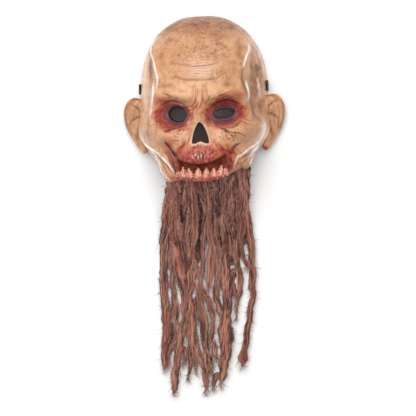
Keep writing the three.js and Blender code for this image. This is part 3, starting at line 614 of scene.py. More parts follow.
# Moulded shell: paint.
# The skin tone is sprayed on; red, burgundy and grey-purple are airbrushed round the eyes and the mouth,
# brown is wiped into the wrinkles, and a clear coat goes over it all. Painted highlights and sheen lie on
# the ridges, temples, cheekbones, forehead and gum, and painted shade in the torn corner, the mouth's
# corners and over the crown. Each mask runs from 0 to 1.
# Smudges of brown, crooked marks on the crown and freckles: place, radii and strength.
BROWN_SMUDGES = [((-53, 76), (5, 20), 0.55), ((-45, 101), (16, 9), 0.5), ((-10, 117), (34, 11), 0.45),
                 ((26, 106), (24, 10), 0.5), ((56, 84), (6, 20), 0.6), ((48, 58), (5, 12), 0.4),
                 ((-44, 34), (10, 4), 0.6), ((-34, 45), (9, 3), 0.5), ((33, 50), (7, 4.5), 0.5),
                 ((41, 33.5), (11, 5), 0.5), ((60, 36), (5, 9), 0.4), ((-58, 40), (5, 9), 0.3),
                 ((-69.5, 62), (5, 28), 0.85), ((77, 36), (11, 52), 0.95),
                 ((82, 7), (8, 20), 0.75), ((0, -8), (7, 11), 0.3), ((-74, -6), (4, 14), 0.4),
                 ((-75, -22), (9, 16), 0.12), ((66, -28), (9, 14), 0.12), ((57, -74), (12, 9), 0.5),
                 ((-12, 88), (20, 14), 0.22), ((18, 82), (26, 18), 0.3), ((-42, 72), (20, 34), 0.16),
                 ((44, 66), (20, 34), 0.13)]
CROWN_MARKS = [((16, 88), (28, 26), 0.8), ((-20, 80), (18, 14), 0.7), ((10, 112), (44, 14), 0.8),
               ((-38, 96), (18, 14), 0.5), ((34, 48), (16, 10), 0.5)]
FRECKLED = [((-34, -36), (20, 12), 0.8), ((-62, -72), (12, 18), 1.0), ((42, -40), (24, 16), 0.8),
            ((56, -68), (14, 12), 0.7), ((-70, -25), (14, 20), 0.5), ((36, 40), (24, 18), 0.4),
            ((-50, 60), (18, 40), 0.3), ((3, -52), (20, 5), 0.9)]
# The mask of paint that each tone of crease goes to.
LINE_MASKS = {"red": "line_red", "blood": "line_wine", "bruise": "line_wine", "brown": "line_brown"}
# Painted sheen and highlights, pale, on the temples, the jaw and the cheekbones: width, strength and line.
SHEEN_BANDS = [(5.0, 0.48, [(-78, 92), (-80, 76), (-81, 55), (-81, 38), (-80.5, 22), (-80, 10)]),
              (2.6, 0.7, [(-67, 36), (-67, 26), (-68.5, 15)]),
              (1.1, 0.9, [(-52, -60), (-43.5, -69), (-38, -77.5), (-35, -86)]),
              (1.3, 0.9, [(95, -20), (92, -32), (85, -45), (77, -55)]),
              (1.5, 0.6, [(72, 99), (79.5, 85.5), (84.5, 72), (87.5, 58), (88.5, 44)]),
              (1.0, 0.4, [(70, 90), (76, 78), (81, 62)])]
# Painted highlights, thick and white on the cheekbones: width, strength and line.
CHEEKBONE_HIGHLIGHTS = [(4.6, 0.95, [(87, -17), (88.5, -24), (87, -34), (81, -43), (74, -50)]),
               (2.4, 0.9, [(88, -30), (83, -42), (74, -51), (66, -57)]),
               (2.0, 0.8, [(-90, -26), (-88, -35), (-82, -45), (-75, -51)])]
# Grey-purple bruise round each eye: place, radii and turn.
BRUISES = [((-33.5, -7), (16.5, 13.5), -0.15), ((33, -8), (17, 12.5), 0.12)]
# Painted shade, near black, in the two corners of the sunken mouth: strength, width and line.
MOUTH_CORNER_SHADE = [(0.75, 1.7, [(26, -66), (33, -71), (36.5, -78), (37, -86), (34, -91)]),
                 (0.62, 3.0, [(-44, -56), (-39.5, -65), (-37, -73), (-36, -83)])]
# Red wiped outwards from the sockets and over the raw flesh: place, radii, strength, turn and power.
RED_WIPES = [((-53, 12), (16, 8), 0.7, -0.2, 3), ((50, 15), (17, 8), 0.62, 0.28, 3),
             ((-6, 2), (6, 9), 0.35, 0.5, 2), ((8, 3), (6, 8), 0.35, -0.5, 2),
             ((-42, -94), (9, 5), 0.7, 0, 2), ((41, -79), (7, 11), 0.95, 0, 3),
             ((-45, -46), (9, 8), 0.5, 0, 2), ((-29, -60), (8, 11), 1.0, -0.6, 4),
             ((34, -21), (20, 7), 0.95, 0.1, 4)]
# Raw flesh round the gum and, on the +X side, beside it: place, radii, turn and power. Then a scar on
# the -X side, two dark lines beside the mouth, the gum's own colour and its painted glints: place and radii.
RED_LIP = ((-2, -65), (37, 20), 0.05, 4)
RED_FLESH = ((36, -66), (13, 18), -0.35, 3)
RED_SCAR = [(-50, -46), (-45, -58), (-41, -72), (-38, -95)]
WINE_LINES = [[(-39, -64), (-39, -80), (-37, -94)], [(38, -60), (39, -75), (37, -90)]]
PAINTED_GUM = ((-3, -65), (25, 10.5))
GUM_GLINTS = ((-1, -66), (14, 5))
# Corner of the mouth torn open up into the cheek on the -X side; painted shade darkens it along this line.
TORN_CORNER = [(-50, -44), (-45, -51.5), (-40, -58.5), (-34, -66), (-31, -72)]
THICKEST_BROWN = 0.85


def paint_masks(x, y):
    """Masks of the airbrushed colours and of what is wiped into the wrinkles, by place on the face."""
    names = ("red", "wine", "bruise", "brown", "pale", "painted_highlight", "line_red", "line_wine", "line_brown",
             "crown_marks", "freckles")
    masks = {name: np.zeros(np.shape(x)) for name in names}

    def lay(name, value):
        """Keeps the thicker of two layers of the same paint."""
        masks[name] = np.maximum(masks[name], value)

    for tone, width, depth, line in FINE_CREASES:
        if tone in LINE_MASKS:
            lay(LINE_MASKS[tone], min(1, 0.5 + 0.35 * abs(depth)) * bell_along(x, y, 0.95 * width, line))
    # Painted highlights, white, along the bony ridges.
    for width, _, line in RIDGES:
        lay("painted_highlight", bell_along(x, y, 0.85 * width, line))
    masks["painted_highlight"] *= 0.9 + 0.3 * blend_noise(x, y, 6, 57)
    # Painted sheen and highlights, pale and streaked, along the bands.
    sheen_streaks = 0.85 + 0.5 * drawn_noise(x, y, 1.5, 2.6, 40, 56)
    for width, strength, line in SHEEN_BANDS:
        lay("pale", strength * sheen_streaks * bell_along(x, y, width, line))
    # Painted highlights in strands on the cheekbones.
    strands = 0.55 + 0.9 * drawn_noise(x, y, -2.0, 1.3, 26, 60)
    for width, strength, line in CHEEKBONE_HIGHLIGHTS:
        lay("painted_highlight", np.clip(strands, 0.1, 1) * strength * bell_along(x, y, width, line))
    # Painted highlights on the crests of the forehead's fine wrinkles.
    lay("pale", 0.75 * np.maximum(0, forehead_waves(x, y)) * smooth(24, 10, np.abs(x)))
    # Painted glints, white, on the bumps of the gum.
    ripple = np.sin(2 * np.pi * x / 4.3 + 2 * blend_noise(x, y, 5, 55))
    lay("painted_highlight", 0.7 * np.maximum(0, ripple) * soft_mound(x, y, *GUM_GLINTS, 1, 0, 4)
        * smooth(-0.5, 0.4, blend_noise(x, y, 2.2, 58)))
    # A faint pale rim round the nose opening.
    near_nose = beside_line(x, y, list(zip(*nose_outline())))[0]
    lay("pale", 0.25 * bell(near_nose, 1.3, 1.0))
    for (middle, radii, turn), (low, low_radii, low_turn) in zip(SOCKETS, BRUISES):
        outside = turned_radius(x, y, middle, radii, turn) * (1 + 0.3 * smooth(2, 16, y - middle[1]))
        inside = turned_radius(x, y, low, low_radii, low_turn)
        lay("red", smooth(1.34, 0.72, outside + 0.14 * drawn_noise(x, y, 0.25, 1.6, 9, 59)))
        upper = 0.54 + 0.06 * np.tanh((y - middle[1]) / 6)
        lay("wine", upper * smooth(1.08, 0.78, outside) * smooth(0.6, 1.0, inside))
        lay("wine", 0.6 * smooth(1.35, 1.05, inside))
        lay("bruise", smooth(1.28, 0.9, inside))
        rings = socket_rings(x, y, middle, radii, turn)
        lay("line_wine", 0.42 * smooth(0.2, 0.9, -rings) * smooth(0.8, 1.15, inside))
    ragged = 4 * blend_noise(x, y, 7, 51) + 2.5 * blend_noise(x, y, 2.5, 52)
    at, radii, turn, power = RED_LIP
    lip = soft_mound(x + ragged, y + 0.7 * ragged, at, radii, 1, turn, power)
    at, radii, turn, power = RED_FLESH
    flesh = soft_mound(x + ragged, y - ragged, at, radii, 1, turn, power)
    for patch in (lip, flesh, 0.75 * bell_along(x, y, 4.5, RED_SCAR)):
        lay("red", patch)
    for at, radii, strength, turn, power in RED_WIPES:
        lay("red", soft_mound(x, y, at, radii, strength, turn, power))
    masks["red"] *= smooth(1.5, 5, near_nose)
    lay("wine", 0.85 * flesh * smooth(-0.5, 0.5, blend_noise(x, y, 5, 53)) * smooth(22, 32, x))
    lay("wine", 0.6 * lip * smooth(0.0, 0.7, blend_noise(x, y, 4.5, 54)))
    lay("wine", 0.75 * smooth(7, 0, y - gum_edge(x)) * smooth(39, 34, np.abs(x + 1)) * smooth(-90, -84, y))
    for line in WINE_LINES:
        lay("wine", 0.9 * bell_along(x, y, 4, line))
    smear = 1 + 0.35 * blend_noise(x, y, 6, 61)
    for at, radii, strength in BROWN_SMUDGES:
        lay("brown", soft_mound(x, y, at, radii, strength) * smear)
    # Brown deepens towards the crown: partly airbrushed, partly painted shade over the top of the head.
    lay("brown", smooth(88, 134, y) * (0.95 + 0.3 * blend_noise(x, y, 9, 62)))
    streaks = 1 + 0.35 * smooth(62, 72, np.abs(x)) * drawn_noise(x, y, 1.5, 2.4, 30, 63)
    masks["brown"] = np.minimum(THICKEST_BROWN, masks["brown"] * streaks)
    # The sunken mouth is painted dark brown; along the torn corner the same dark is painted shade, widening
    # towards the mouth.
    from_tear, along = beside_line(x, y, curve_through(TORN_CORNER, 30))
    masks["dark"] = np.maximum(mouth_share(x, y), bell(from_tear, 0, 1.3 + 2.2 * along))
    masks["gum"] = soft_mound(x, y, *PAINTED_GUM, 1, 0, 4) * (1 - masks["dark"])
    masks["foot_gum"] = smooth(7, 2, y - teeth_foot(x)) * smooth(39, 34, np.abs(x))
    # Near-black liner round the eye holes, and painted shade in the torn corner and the mouth's corners.
    edge = np.full(np.shape(x), np.inf)
    for outline in (eye_outline(EYE_LEFT), eye_outline(EYE_RIGHT)):
        edge = np.minimum(edge, beside_line(x, y, list(zip(*outline))[::4])[0])
    masks["liner_and_painted_shade"] = np.maximum(smooth(2.6, 0.4, edge), 0.8 * bell(from_tear, 0, 1.1 + 2.0 * along))
    for strength, width, line in MOUTH_CORNER_SHADE:
        lay("liner_and_painted_shade", strength * bell_along(x, y, width, line))
    for name, fields in (("crown_marks", CROWN_MARKS), ("freckles", FRECKLED)):
        for at, radii, strength in fields:
            lay(name, soft_mound(x, y, at, radii, strength, 0, 4))
    return masks


# Ears.
# Two cupped plates moulded with the shell, each from the side of the head out to its rolled rim, with
# the inner fold, the bowl and a long lobe; the tip of the lobe on the +X side is daubed red.
# Outer and inner curve of the ear on the +X side, from the top down.
EAR_OUTER = [(90, 22, 16), (100, 24, 13), (109, 18.5, 9), (114.5, 6, 6.5), (114, -8, 6), (110.5, -21, 6.5),
             (104.5, -34, 8.5), (97, -47, 11), (88.5, -56.5, 13)]
EAR_INNER = [(89, 19, 20), (89, 12, 25), (89, 3, 28), (90, -8, 29), (91, -18, 27), (92, -28, 22),
             (91, -37, 19), (86.5, -46, 17), (84, -53, 15)]
# Brown lines drawn in its folds: width and points over the table, for the ear on the +X side.
EAR_LINES = [(1.2, [(108, 17.5), (111.5, 7.5), (112, -2.5), (111, -12.5), (107.5, -24.5), (103, -34)]),
             (1.3, [(96, -2), (96, 5.5), (100, 12.5), (107, 15.5)]),
             (1.5, [(92, -8), (94.5, -4.5), (99.5, -4.5), (104.5, -11), (106, -19.5), (104, -26)]),
             (2.6, [(91, -9), (93, -14.5), (96.5, -24.5), (97.5, -33), (95, -43)])]
EAR_CELLS = (66, 38)
EAR_THICKNESS = 3.2
EAR_TURN = 0.62
EAR_LINE_DEPTH = 0.9
EAR_LOWEST = 0.6


def ear_relief(along, across):
    """Rolled rim, inner fold with its fork, bowl, flap before the bowl and lobe, by shares of the ear."""
    rim_roll = 4.5 * bell(across, 0.93, 0.1) * smooth(0.85, 0.6, along)
    groove = -1.6 * bell(across, 0.76, 0.07) * smooth(0.02, 0.1, along) * smooth(0.72, 0.5, along)
    fold = 3.4 * bell(across, 0.57, 0.1) * smooth(0.1, 0.3, along) * smooth(0.75, 0.6, along)
    fork = 1.8 * bell(across - 0.6 * (along - 0.12), 0.35, 0.08) * smooth(0.3, 0.15, along)
    bowl = -7 * bell(across, 0.3, 0.22) * bell(along, 0.42, 0.2)
    flap = 2.6 * bell(across, 0.08, 0.1) * bell(along, 0.47, 0.08)
    lobe = 1.5 * bell(across, 0.5, 0.4) * bell(along, 0.85, 0.15)
    uneven = 0.25 * blend_noise(along * 60, across * 25, 5, 71)
    return rim_roll + groove + fold + fork + bowl + flap + lobe + uneven


def closed_sheet(front, back):
    """Points and outward cells of the solid between two grids of points, closed round its border."""
    rows, columns = front.shape[:2]
    number = np.arange(rows * columns).reshape(rows, columns)
    face = np.stack([number[:-1, :-1], number[:-1, 1:], number[1:, 1:], number[1:, :-1]], -1).reshape(-1, 4)
    border = walk_round(number)
    ahead = np.roll(border, -1)
    side = np.stack([ahead, border, border + number.size, ahead + number.size], -1)
    cells = np.concatenate([face, face[:, ::-1] + number.size, side])
    return np.concatenate([front.reshape(-1, 3), back.reshape(-1, 3)]), cells


def make_ear(side):
    """Points, cells and paint of one ear: its rows run from the inner curve to the outer one."""
    rows, columns = EAR_CELLS
    inner = curve_through(EAR_INNER, rows + 1)[:, None]
    outer = curve_through(EAR_OUTER, rows + 1)[:, None]
    across, along = np.meshgrid(np.linspace(0, 1, columns + 1), np.linspace(0, 1, rows + 1))
    plate = inner * (1 - across[..., None]) + outer * across[..., None]
    facing = np.array([math.sin(EAR_TURN), 0, math.cos(EAR_TURN)])
    height = ear_relief(along, across)
    drawn = np.zeros(height.shape)
    for width, line in EAR_LINES:
        drawn = np.maximum(drawn, bell_along(plate[..., 0], plate[..., 1], width, line))
    height -= EAR_LINE_DEPTH * drawn
    front = plate + facing * height[..., None]
    thin = EAR_THICKNESS * (1 - 0.55 * across**6)
    back = front - facing * thin[..., None]
    for layer in (front, back):
        layer[..., 2] = np.maximum(layer[..., 2], EAR_LOWEST)
        layer[..., 0] *= side
    points, cells = closed_sheet(front, back)
    # Painted shade: a little brown in the ear's hollows and in the groove inside its rim.
    hollows, edge = smooth(0.5, -4.5, height), bell(across, 0.8, 0.08) * smooth(0.8, 0.6, along)
    paint = {"brown": 0.15 * np.maximum(hollows, edge), "line_brown": 0.9 * drawn,
             "red": smooth(0.9, 0.99, along) * (side > 0), "freckles": np.full(height.shape, 0.25)}
    masks = {name: np.tile(values.ravel(), 2) for name, values in paint.items()}
    return points, cells if side < 0 else cells[:, ::-1], masks


# Lower teeth.
# Eight blunt, uneven pegs moulded at the foot of the sunken mouth, pinkish white and pitted, each
# standing out of a narrow salmon gum. Place across, height of the tip, and width.
TEETH = [(-31.5, -81, 8), (-24.5, -78, 9.8), (-15.5, -80, 10.4), (-5, -80, 11.8), (5.5, -80.5, 11.4),
         (16, -81, 10.8), (24.5, -77, 9.4), (31.5, -81, 7.8)]
TOOTH = {"z": 84.5, "sink": 0.6, "flatness": 0.75, "lean": 0.12, "fan": 0.006, "bow": 0.004}
# From foot to tip: its radius as a share of the width, and how far up it is, 0 to 1.
TOOTH_PROFILE = [(0, 0), (0.56, 0.02), (0.66, 0.14), (0.63, 0.36), (0.49, 0.55), (0.32, 0.74), (0.16, 0.92),
                 (0, 1)]


def make_tooth(index, x, tip_y, width):
    """Points and cells of one tooth: a profile turned round, with three shallow flutes, then bent,
    flattened, leant out and fanned."""
    around, rows = 28, 22
    foot = teeth_foot(x) - TOOTH["sink"]
    profile = curve_through(TOOTH_PROFILE, rows)
    angle = 2 * np.pi * np.arange(around) / around
    flutes = 1 + 0.07 * np.cos(3 * angle + 1.7 * index)
    radius = np.maximum(profile[:, 0], 0)[:, None] * width * flutes
    level = profile[:, 1][:, None] * (tip_y - foot)
    radius = radius * (1 + 0.12 * blend_noise(level + 20 * index, 3 * np.cos(angle), 2.2, 81))
    bend = 0.9 * math.sin(2.3 * index) * (profile[:, 1] ** 2)[:, None]
    sides = radius * np.cos(angle) + bend, level, radius * np.sin(angle) * TOOTH["flatness"]
    points = np.stack(np.broadcast_arrays(*sides), -1).reshape(-1, 3)
    turn = Matrix.Rotation(-TOOTH["fan"] * x, 3, "Z") @ Matrix.Rotation(TOOTH["lean"], 3, "X")
    points = points @ np.array(turn).T + np.array([x, foot, TOOTH["z"] - TOOTH["bow"] * x * x])
    number = np.arange(len(points)).reshape(rows, around)
    return points, tube_cells(number, reverse=True)


# Moulded shell: one mesh of skin, ears and teeth.
def make_object(name, points, faces, masks=(), slots=None):
    """A smooth-shaded mesh object from points in the face's millimetres. faces is a list of arrays of
    corner numbers, masks are values at its points, and slots are the faces' material numbers."""
    used = np.unique(np.concatenate([part.ravel() for part in faces]))
    renumber = np.zeros(len(points), int)
    renumber[used] = np.arange(len(used))
    corners = np.concatenate([renumber[part].ravel() for part in faces])
    sizes = np.concatenate([np.full(len(part), part.shape[1]) for part in faces])
    mesh = bpy.data.meshes.new(name)
    mesh.vertices.add(len(used))
    moved = (points[used] + [0, FACE_Y, 0]) / 1000
    mesh.vertices.foreach_set("co", moved.astype(np.float32).ravel())
    mesh.loops.add(len(corners))
    mesh.polygons.add(len(sizes))
    mesh.polygons.foreach_set("loop_start", np.concatenate([[0], np.cumsum(sizes)[:-1]]).astype(np.int32))
    mesh.polygons.foreach_set("vertices", corners.astype(np.int32))
    if slots is not None:
        mesh.polygons.foreach_set("material_index", slots.astype(np.int32))
    mesh.update(calc_edges=True)
    mesh.shade_smooth()
    for key, values in dict(masks).items():
        attribute = mesh.attributes.new(key, "FLOAT", "POINT")
        attribute.data.foreach_set("value", values[used].astype(np.float32))
    made = bpy.data.objects.new(name, mesh)
    bpy.context.scene.collection.objects.link(made)
    return made


def make_shell():
    """The outer skin, the inner skin of cells twice as large, the walls between their loops, the ears
    and the teeth, as one mesh. Painted skin has material number 0, teeth 1 and the bare inside 2."""
    places, cells, loops = skin_cells(1)
    inner_places, inner_cells, inner_loops = skin_cells(2)
    skins = np.concatenate([outer_skin(places), inner_skin(inner_places)])
    masks = paint_masks(skins[:, 0], skins[:, 1])
    faces, slots = [cells, inner_cells[:, ::-1] + len(places)], [0, 2]
    for fine, coarse in zip(loops, inner_loops):
        coarse = coarse + len(places)
        fine_next, coarse_next = np.roll(fine, -2)[::2], np.roll(coarse, -1)
        faces += [np.stack([fine[1::2], fine[::2], coarse], -1),
                  np.stack([fine_next, fine[1::2], coarse, coarse_next], -1)]
        slots += [0, 0]
    parts = [(skins, faces, masks, slots)]
    for side in (-1, 1):
        points, ear_cells, ear_masks = make_ear(side)
        parts.append((points, [ear_cells], ear_masks, [0]))
    for index, tooth in enumerate(TEETH):
        points, tooth_cells = make_tooth(index, *tooth)
        parts.append((points, [tooth_cells], {}, [1]))
    all_points, all_faces, slots, count = [], [], [], 0
    all_masks = {name: [] for name in masks}
    for points, part_faces, part_masks, part_slots in parts:
        all_faces += [part + count for part in part_faces]
        slots += [np.full(len(part), slot) for part, slot in zip(part_faces, part_slots)]
        for name in all_masks:
            values = part_masks.get(name, np.zeros(0))
            all_masks[name].append(np.pad(values, (0, len(points) - len(values))))
        all_points.append(points)
        count += len(points)
    joined = {name: np.concatenate(values) for name, values in all_masks.items()}
    return make_object("mask_skin", np.concatenate(all_points), all_faces, joined, np.concatenate(slots))


class Shade:
    """One socket of a material's node tree. Arithmetic on it adds Math nodes."""

    def __init__(self, tree, socket):
        self.tree = tree
        self.socket = socket

    def node(self, kind, settings=(), inputs=(), output=0):
        """Adds a node: its settings first, then the values or links of its sockets, by name or number."""
        made = self.tree.nodes.new(kind)
        for key, value in dict(settings).items():
            setattr(made, key, value)
        for key, value in dict(inputs).items():
            if isinstance(value, Shade):
                self.tree.links.new(value.socket, made.inputs[key])
            else:
                made.inputs[key].default_value = value
        return Shade(self.tree, made.outputs[output])

    def math(self, operation, *others):
        """Math node with this value first and the others after it."""
        return self.node("ShaderNodeMath", {"operation": operation}, enumerate((self, *others)))

    def __add__(self, other):
        return self.math("ADD", other)

    def __sub__(self, other):
        return self.math("SUBTRACT", other)

    def __mul__(self, other):
        return self.math("MULTIPLY", other)

    def __rsub__(self, other):
        return self.node("ShaderNodeMath", {"operation": "SUBTRACT"}, {0: other, 1: self})

    __radd__ = __add__
    __rmul__ = __mul__

    def step(self, low, high):
        """0 below low and 1 above high, with a smooth change between them."""
        return self.node("ShaderNodeMapRange", {"interpolation_type": "SMOOTHSTEP"},
                         {"Value": self, "From Min": low, "From Max": high})

    def over(self, below, colour):
        """This mask's share of colour laid over the colour below."""
        return self.node("ShaderNodeMix", {"data_type": "RGBA"}, {0: self, 6: below, 7: colour}, 2)

    def mask(self, name):
        """The number kept at the mesh's points under a name."""
        return self.node("ShaderNodeAttribute", {"attribute_name": name}, {}, 2)

    def noise(self, scale, detail=3, rough=0.5, bend=0):
        """Noise from 0 to 1 at this place; the scale counts its bumps per metre."""
        return self.node("ShaderNodeTexNoise", {}, {"Vector": self, "Scale": scale, "Detail": detail,
                                                    "Roughness": rough, "Distortion": bend})

    def spots(self, scale):
        """Distance to the nearest of many scattered points, counted in their spacing."""
        return self.node("ShaderNodeTexVoronoi", {}, {"Vector": self, "Scale": scale})

    def bump(self, strength, depth):
        """This value as a bumped normal, for a depth in metres."""
        return self.node("ShaderNodeBump", {}, {"Strength": strength, "Distance": depth, "Height": self})


def new_finish(name):
    """A material and a Shade at its object coordinates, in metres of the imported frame."""
    material = bpy.data.materials.new(name)
    material.use_nodes = True
    tree = material.node_tree
    tree.nodes.clear()
    coordinates = tree.nodes.new("ShaderNodeTexCoord")
    return material, Shade(tree, coordinates.outputs["Object"])


def coat_with(place, **inputs):
    """Principled shader with the given sockets, their names with spaces for underscores, as output."""
    named = {key.replace("_", " "): value for key, value in inputs.items()}
    shader = place.node("ShaderNodeBsdfPrincipled", {}, named)
    output = place.tree.nodes.new("ShaderNodeOutputMaterial")
    place.tree.links.new(shader.socket, output.inputs["Surface"])


def rgb(red, green, blue):
    """A colour written as on a paint chart, 0 to 255, as the light values that shaders take."""
    share = np.array([red, green, blue]) / 255
    return (*np.where(share <= 0.04045, share / 12.92, ((share + 0.055) / 1.055) ** 2.4).tolist(), 1)


def painted_skin():
    """Sprayed vinyl skin: mottled tan, the airbrushed masks over it with painted highlights and shade, fine
    specks and a clear coat.
    """
    material, place = new_finish("painted_skin")
    mask = place.mask
    broad, middle = place.noise(20, 3, 0.55), place.noise(85, 4, 0.65)
    fine, grain = place.noise(260, 4, 0.55), place.noise(700, 2, 0.55)
    colour = broad.step(0.35, 0.7).over(rgb(198, 145, 105), rgb(213, 164, 124))
    colour = (middle.step(0.46, 0.66) * 0.7).over(colour, rgb(172, 120, 84))
    colour = (fine.step(0.55, 0.7) * 0.35).over(colour, rgb(150, 98, 70))
    colour = (fine.step(0.45, 0.3) * 0.3).over(colour, rgb(222, 182, 146))
    # Brown: airbrushed smudges, with painted shade towards the crown and in the ears' hollows.
    brown = mask("brown") * (0.75 + 0.5 * place.noise(140, 5, 0.7).step(0.3, 0.7))
    stain = middle.step(0.4, 0.62).over(rgb(136, 84, 48), rgb(110, 64, 38))
    colour = (brown * 0.9).over(colour, stain)
    colour = (mask("line_brown") * 0.85).over(colour, rgb(106, 62, 42))
    # Painted sheen and highlights, pale: the temples' bands, the forehead's crests, and a faint rim round the
    # nose.
    colour = (mask("pale") * 0.85).over(colour, rgb(238, 222, 210))
    red = mask("red") * (0.7 + 0.6 * middle.step(0.3, 0.7))
    colour = (red.step(0.02, 0.5) * 0.85).over(colour, rgb(188, 106, 76))
    colour = (red.step(0.35, 1.0) * 0.9).over(colour, rgb(158, 60, 42))
    wine = mask("wine") * (0.7 + 0.6 * fine.step(0.35, 0.65))
    colour = (wine.step(0.05, 1.0) * 0.9).over(colour, rgb(110, 30, 28))
    bruise = mask("bruise") * (0.8 + 0.4 * middle)
    colour = (bruise.step(0.1, 0.95) * 0.92).over(colour, rgb(96, 58, 66))
    gum = mask("gum") * (0.6 + 0.8 * fine.step(0.35, 0.65))
    colour = (gum.step(0.2, 1) * 0.75).over(colour, rgb(166, 64, 46))
    lumps = place.noise(190, 4, 0.6)
    colour = (mask("gum") * lumps.step(0.52, 0.62) * 0.7).over(colour, rgb(216, 134, 104))
    colour = (mask("gum") * lumps.step(0.47, 0.39) * 0.8).over(colour, rgb(104, 30, 24))
    colour = (mask("line_red") * 0.9).over(colour, rgb(130, 46, 34))
    colour = (mask("line_wine") * 0.88).over(colour, rgb(74, 28, 26))
    # Painted highlights, near white, on the ridges, the cheekbones and the gum's bumps.
    colour = (mask("painted_highlight") * 0.9).over(colour, rgb(252, 246, 240))
    inside_mouth = middle.step(0.4, 0.62).over(rgb(104, 42, 33), rgb(150, 70, 54))
    # Dark brown of the sunken mouth, and painted shade along the torn corner.
    colour = mask("dark").step(0.12, 0.6).over(colour, inside_mouth)
    colour = (mask("foot_gum").step(0.2, 0.8) * 0.9).over(colour, rgb(158, 70, 56))
    # Near black: liner round the eye holes, and painted shade in the torn corner and the mouth's corners.
    colour = (mask("liner_and_painted_shade").step(0.3, 1) * 0.9).over(colour, rgb(26, 18, 20))
    some = place.noise(120, 2, 0.55).step(0.46, 0.56)
    freckles = place.spots(300).step(0.46, 0.26) * some * mask("freckles")
    colour = (freckles * 0.95).over(colour, rgb(80, 40, 30))
    crooked = (place.noise(190, 3, 0.6, 1.6) - 0.5).math("ABSOLUTE").step(0.05, 0.02)
    marks = crooked * place.noise(240, 2, 0.55).step(0.42, 0.55) * mask("crown_marks")
    colour = (marks * 0.8).over(colour, rgb(96, 56, 38))
    uneven = 0.55 * fine + 0.3 * grain + 0.6 * middle - 0.6 * freckles - 0.5 * marks
    gloss = 0.6 - 0.5 * mask("brown") - 0.35 * mask("red") + 0.4 * mask("painted_highlight") + 0.8 * mask("gum")
    wet = mask("gum") * 0.14 + mask("dark") * 0.08
    coat_with(place, Base_Color=colour, Roughness=0.4 - wet + 0.12 * middle.step(0.4, 0.7),
              Coat_Weight=gloss.math("MAXIMUM", 0), Coat_Roughness=0.08, Coat_IOR=1.38,
              Specular_IOR_Level=0.2, Normal=uneven.bump(0.5, 0.0008))
    return material


def bare_vinyl():
    """Unpainted inside of the shell: dull, darker tan with faint mottling."""
    material, place = new_finish("bare_vinyl")
    mottle = place.noise(60)
    colour = mottle.step(0.35, 0.65).over(rgb(128, 92, 66), rgb(146, 108, 80))
    coat_with(place, Base_Color=colour, Roughness=0.65, Normal=mottle.bump(0.3, 0.0008))
    return material


def painted_teeth():
    """Pinkish white, salmon towards the gum, with dark pits and stained flutes."""
    material, place = new_finish("painted_teeth")
    height = place.node("ShaderNodeSeparateXYZ", {}, {0: place}, 1) - (FACE_Y + teeth_foot(0)) / 1000
    stains, pits = place.noise(420, 4), place.spots(280)
    colour = (height + 0.004 * stains).step(0.004, 0.012).over(rgb(160, 66, 48), rgb(214, 142, 114))
    colour = (stains.step(0.5, 0.64) * 0.9).over(colour, rgb(136, 54, 42))
    colour = (pits.step(0.38, 0.2) * stains.step(0.38, 0.48)).over(colour, rgb(52, 20, 18))
    coat_with(place, Base_Color=colour, Roughness=0.3, Coat_Weight=0.6, Coat_Roughness=0.1,
              Normal=(stains + pits).bump(0.5, 0.001))
    return material


shell = make_shell()
for finish in (painted_skin, painted_teeth, bare_vinyl):
    shell.data.materials.append(finish())
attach(shell, "root")
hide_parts("mask_shell")

# Elastic strap.
# A flat woven band, 15 mm wide. A tab of it is stuck outside each temple, and it goes in through the
# slot, turns on its edge and runs round inside the crown in one slack loop.
STRAP = {"width": 15.0, "thickness": 1.2, "flat_length": 26.0, "twist_length": 42.0}
STRAP_ROUTE = [(91.3, 36, 18.5), (92.2, 36, 14), (92.9, 36, 9.8), (91.8, 36, 7.3), (88, 36, 7),
               (83, 36, 7), (76, 36.8, 7.3), (68, 39.8, 7.6), (60, 45.5, 7.8), (54, 53.5, 7.8), (51, 63, 7.8),
               (51, 76, 7.8), (49, 90, 7.8), (42, 104, 7.8), (30, 115, 7.8), (15, 121.5, 7.8)]
STRAP_MIDDLE = (0, 123.5, 7.8)
STRAP_STEPS = 330
STRAP_CORNERS = 16
# Nothing soft lies lower over the table than this.
LOWEST = 0.05


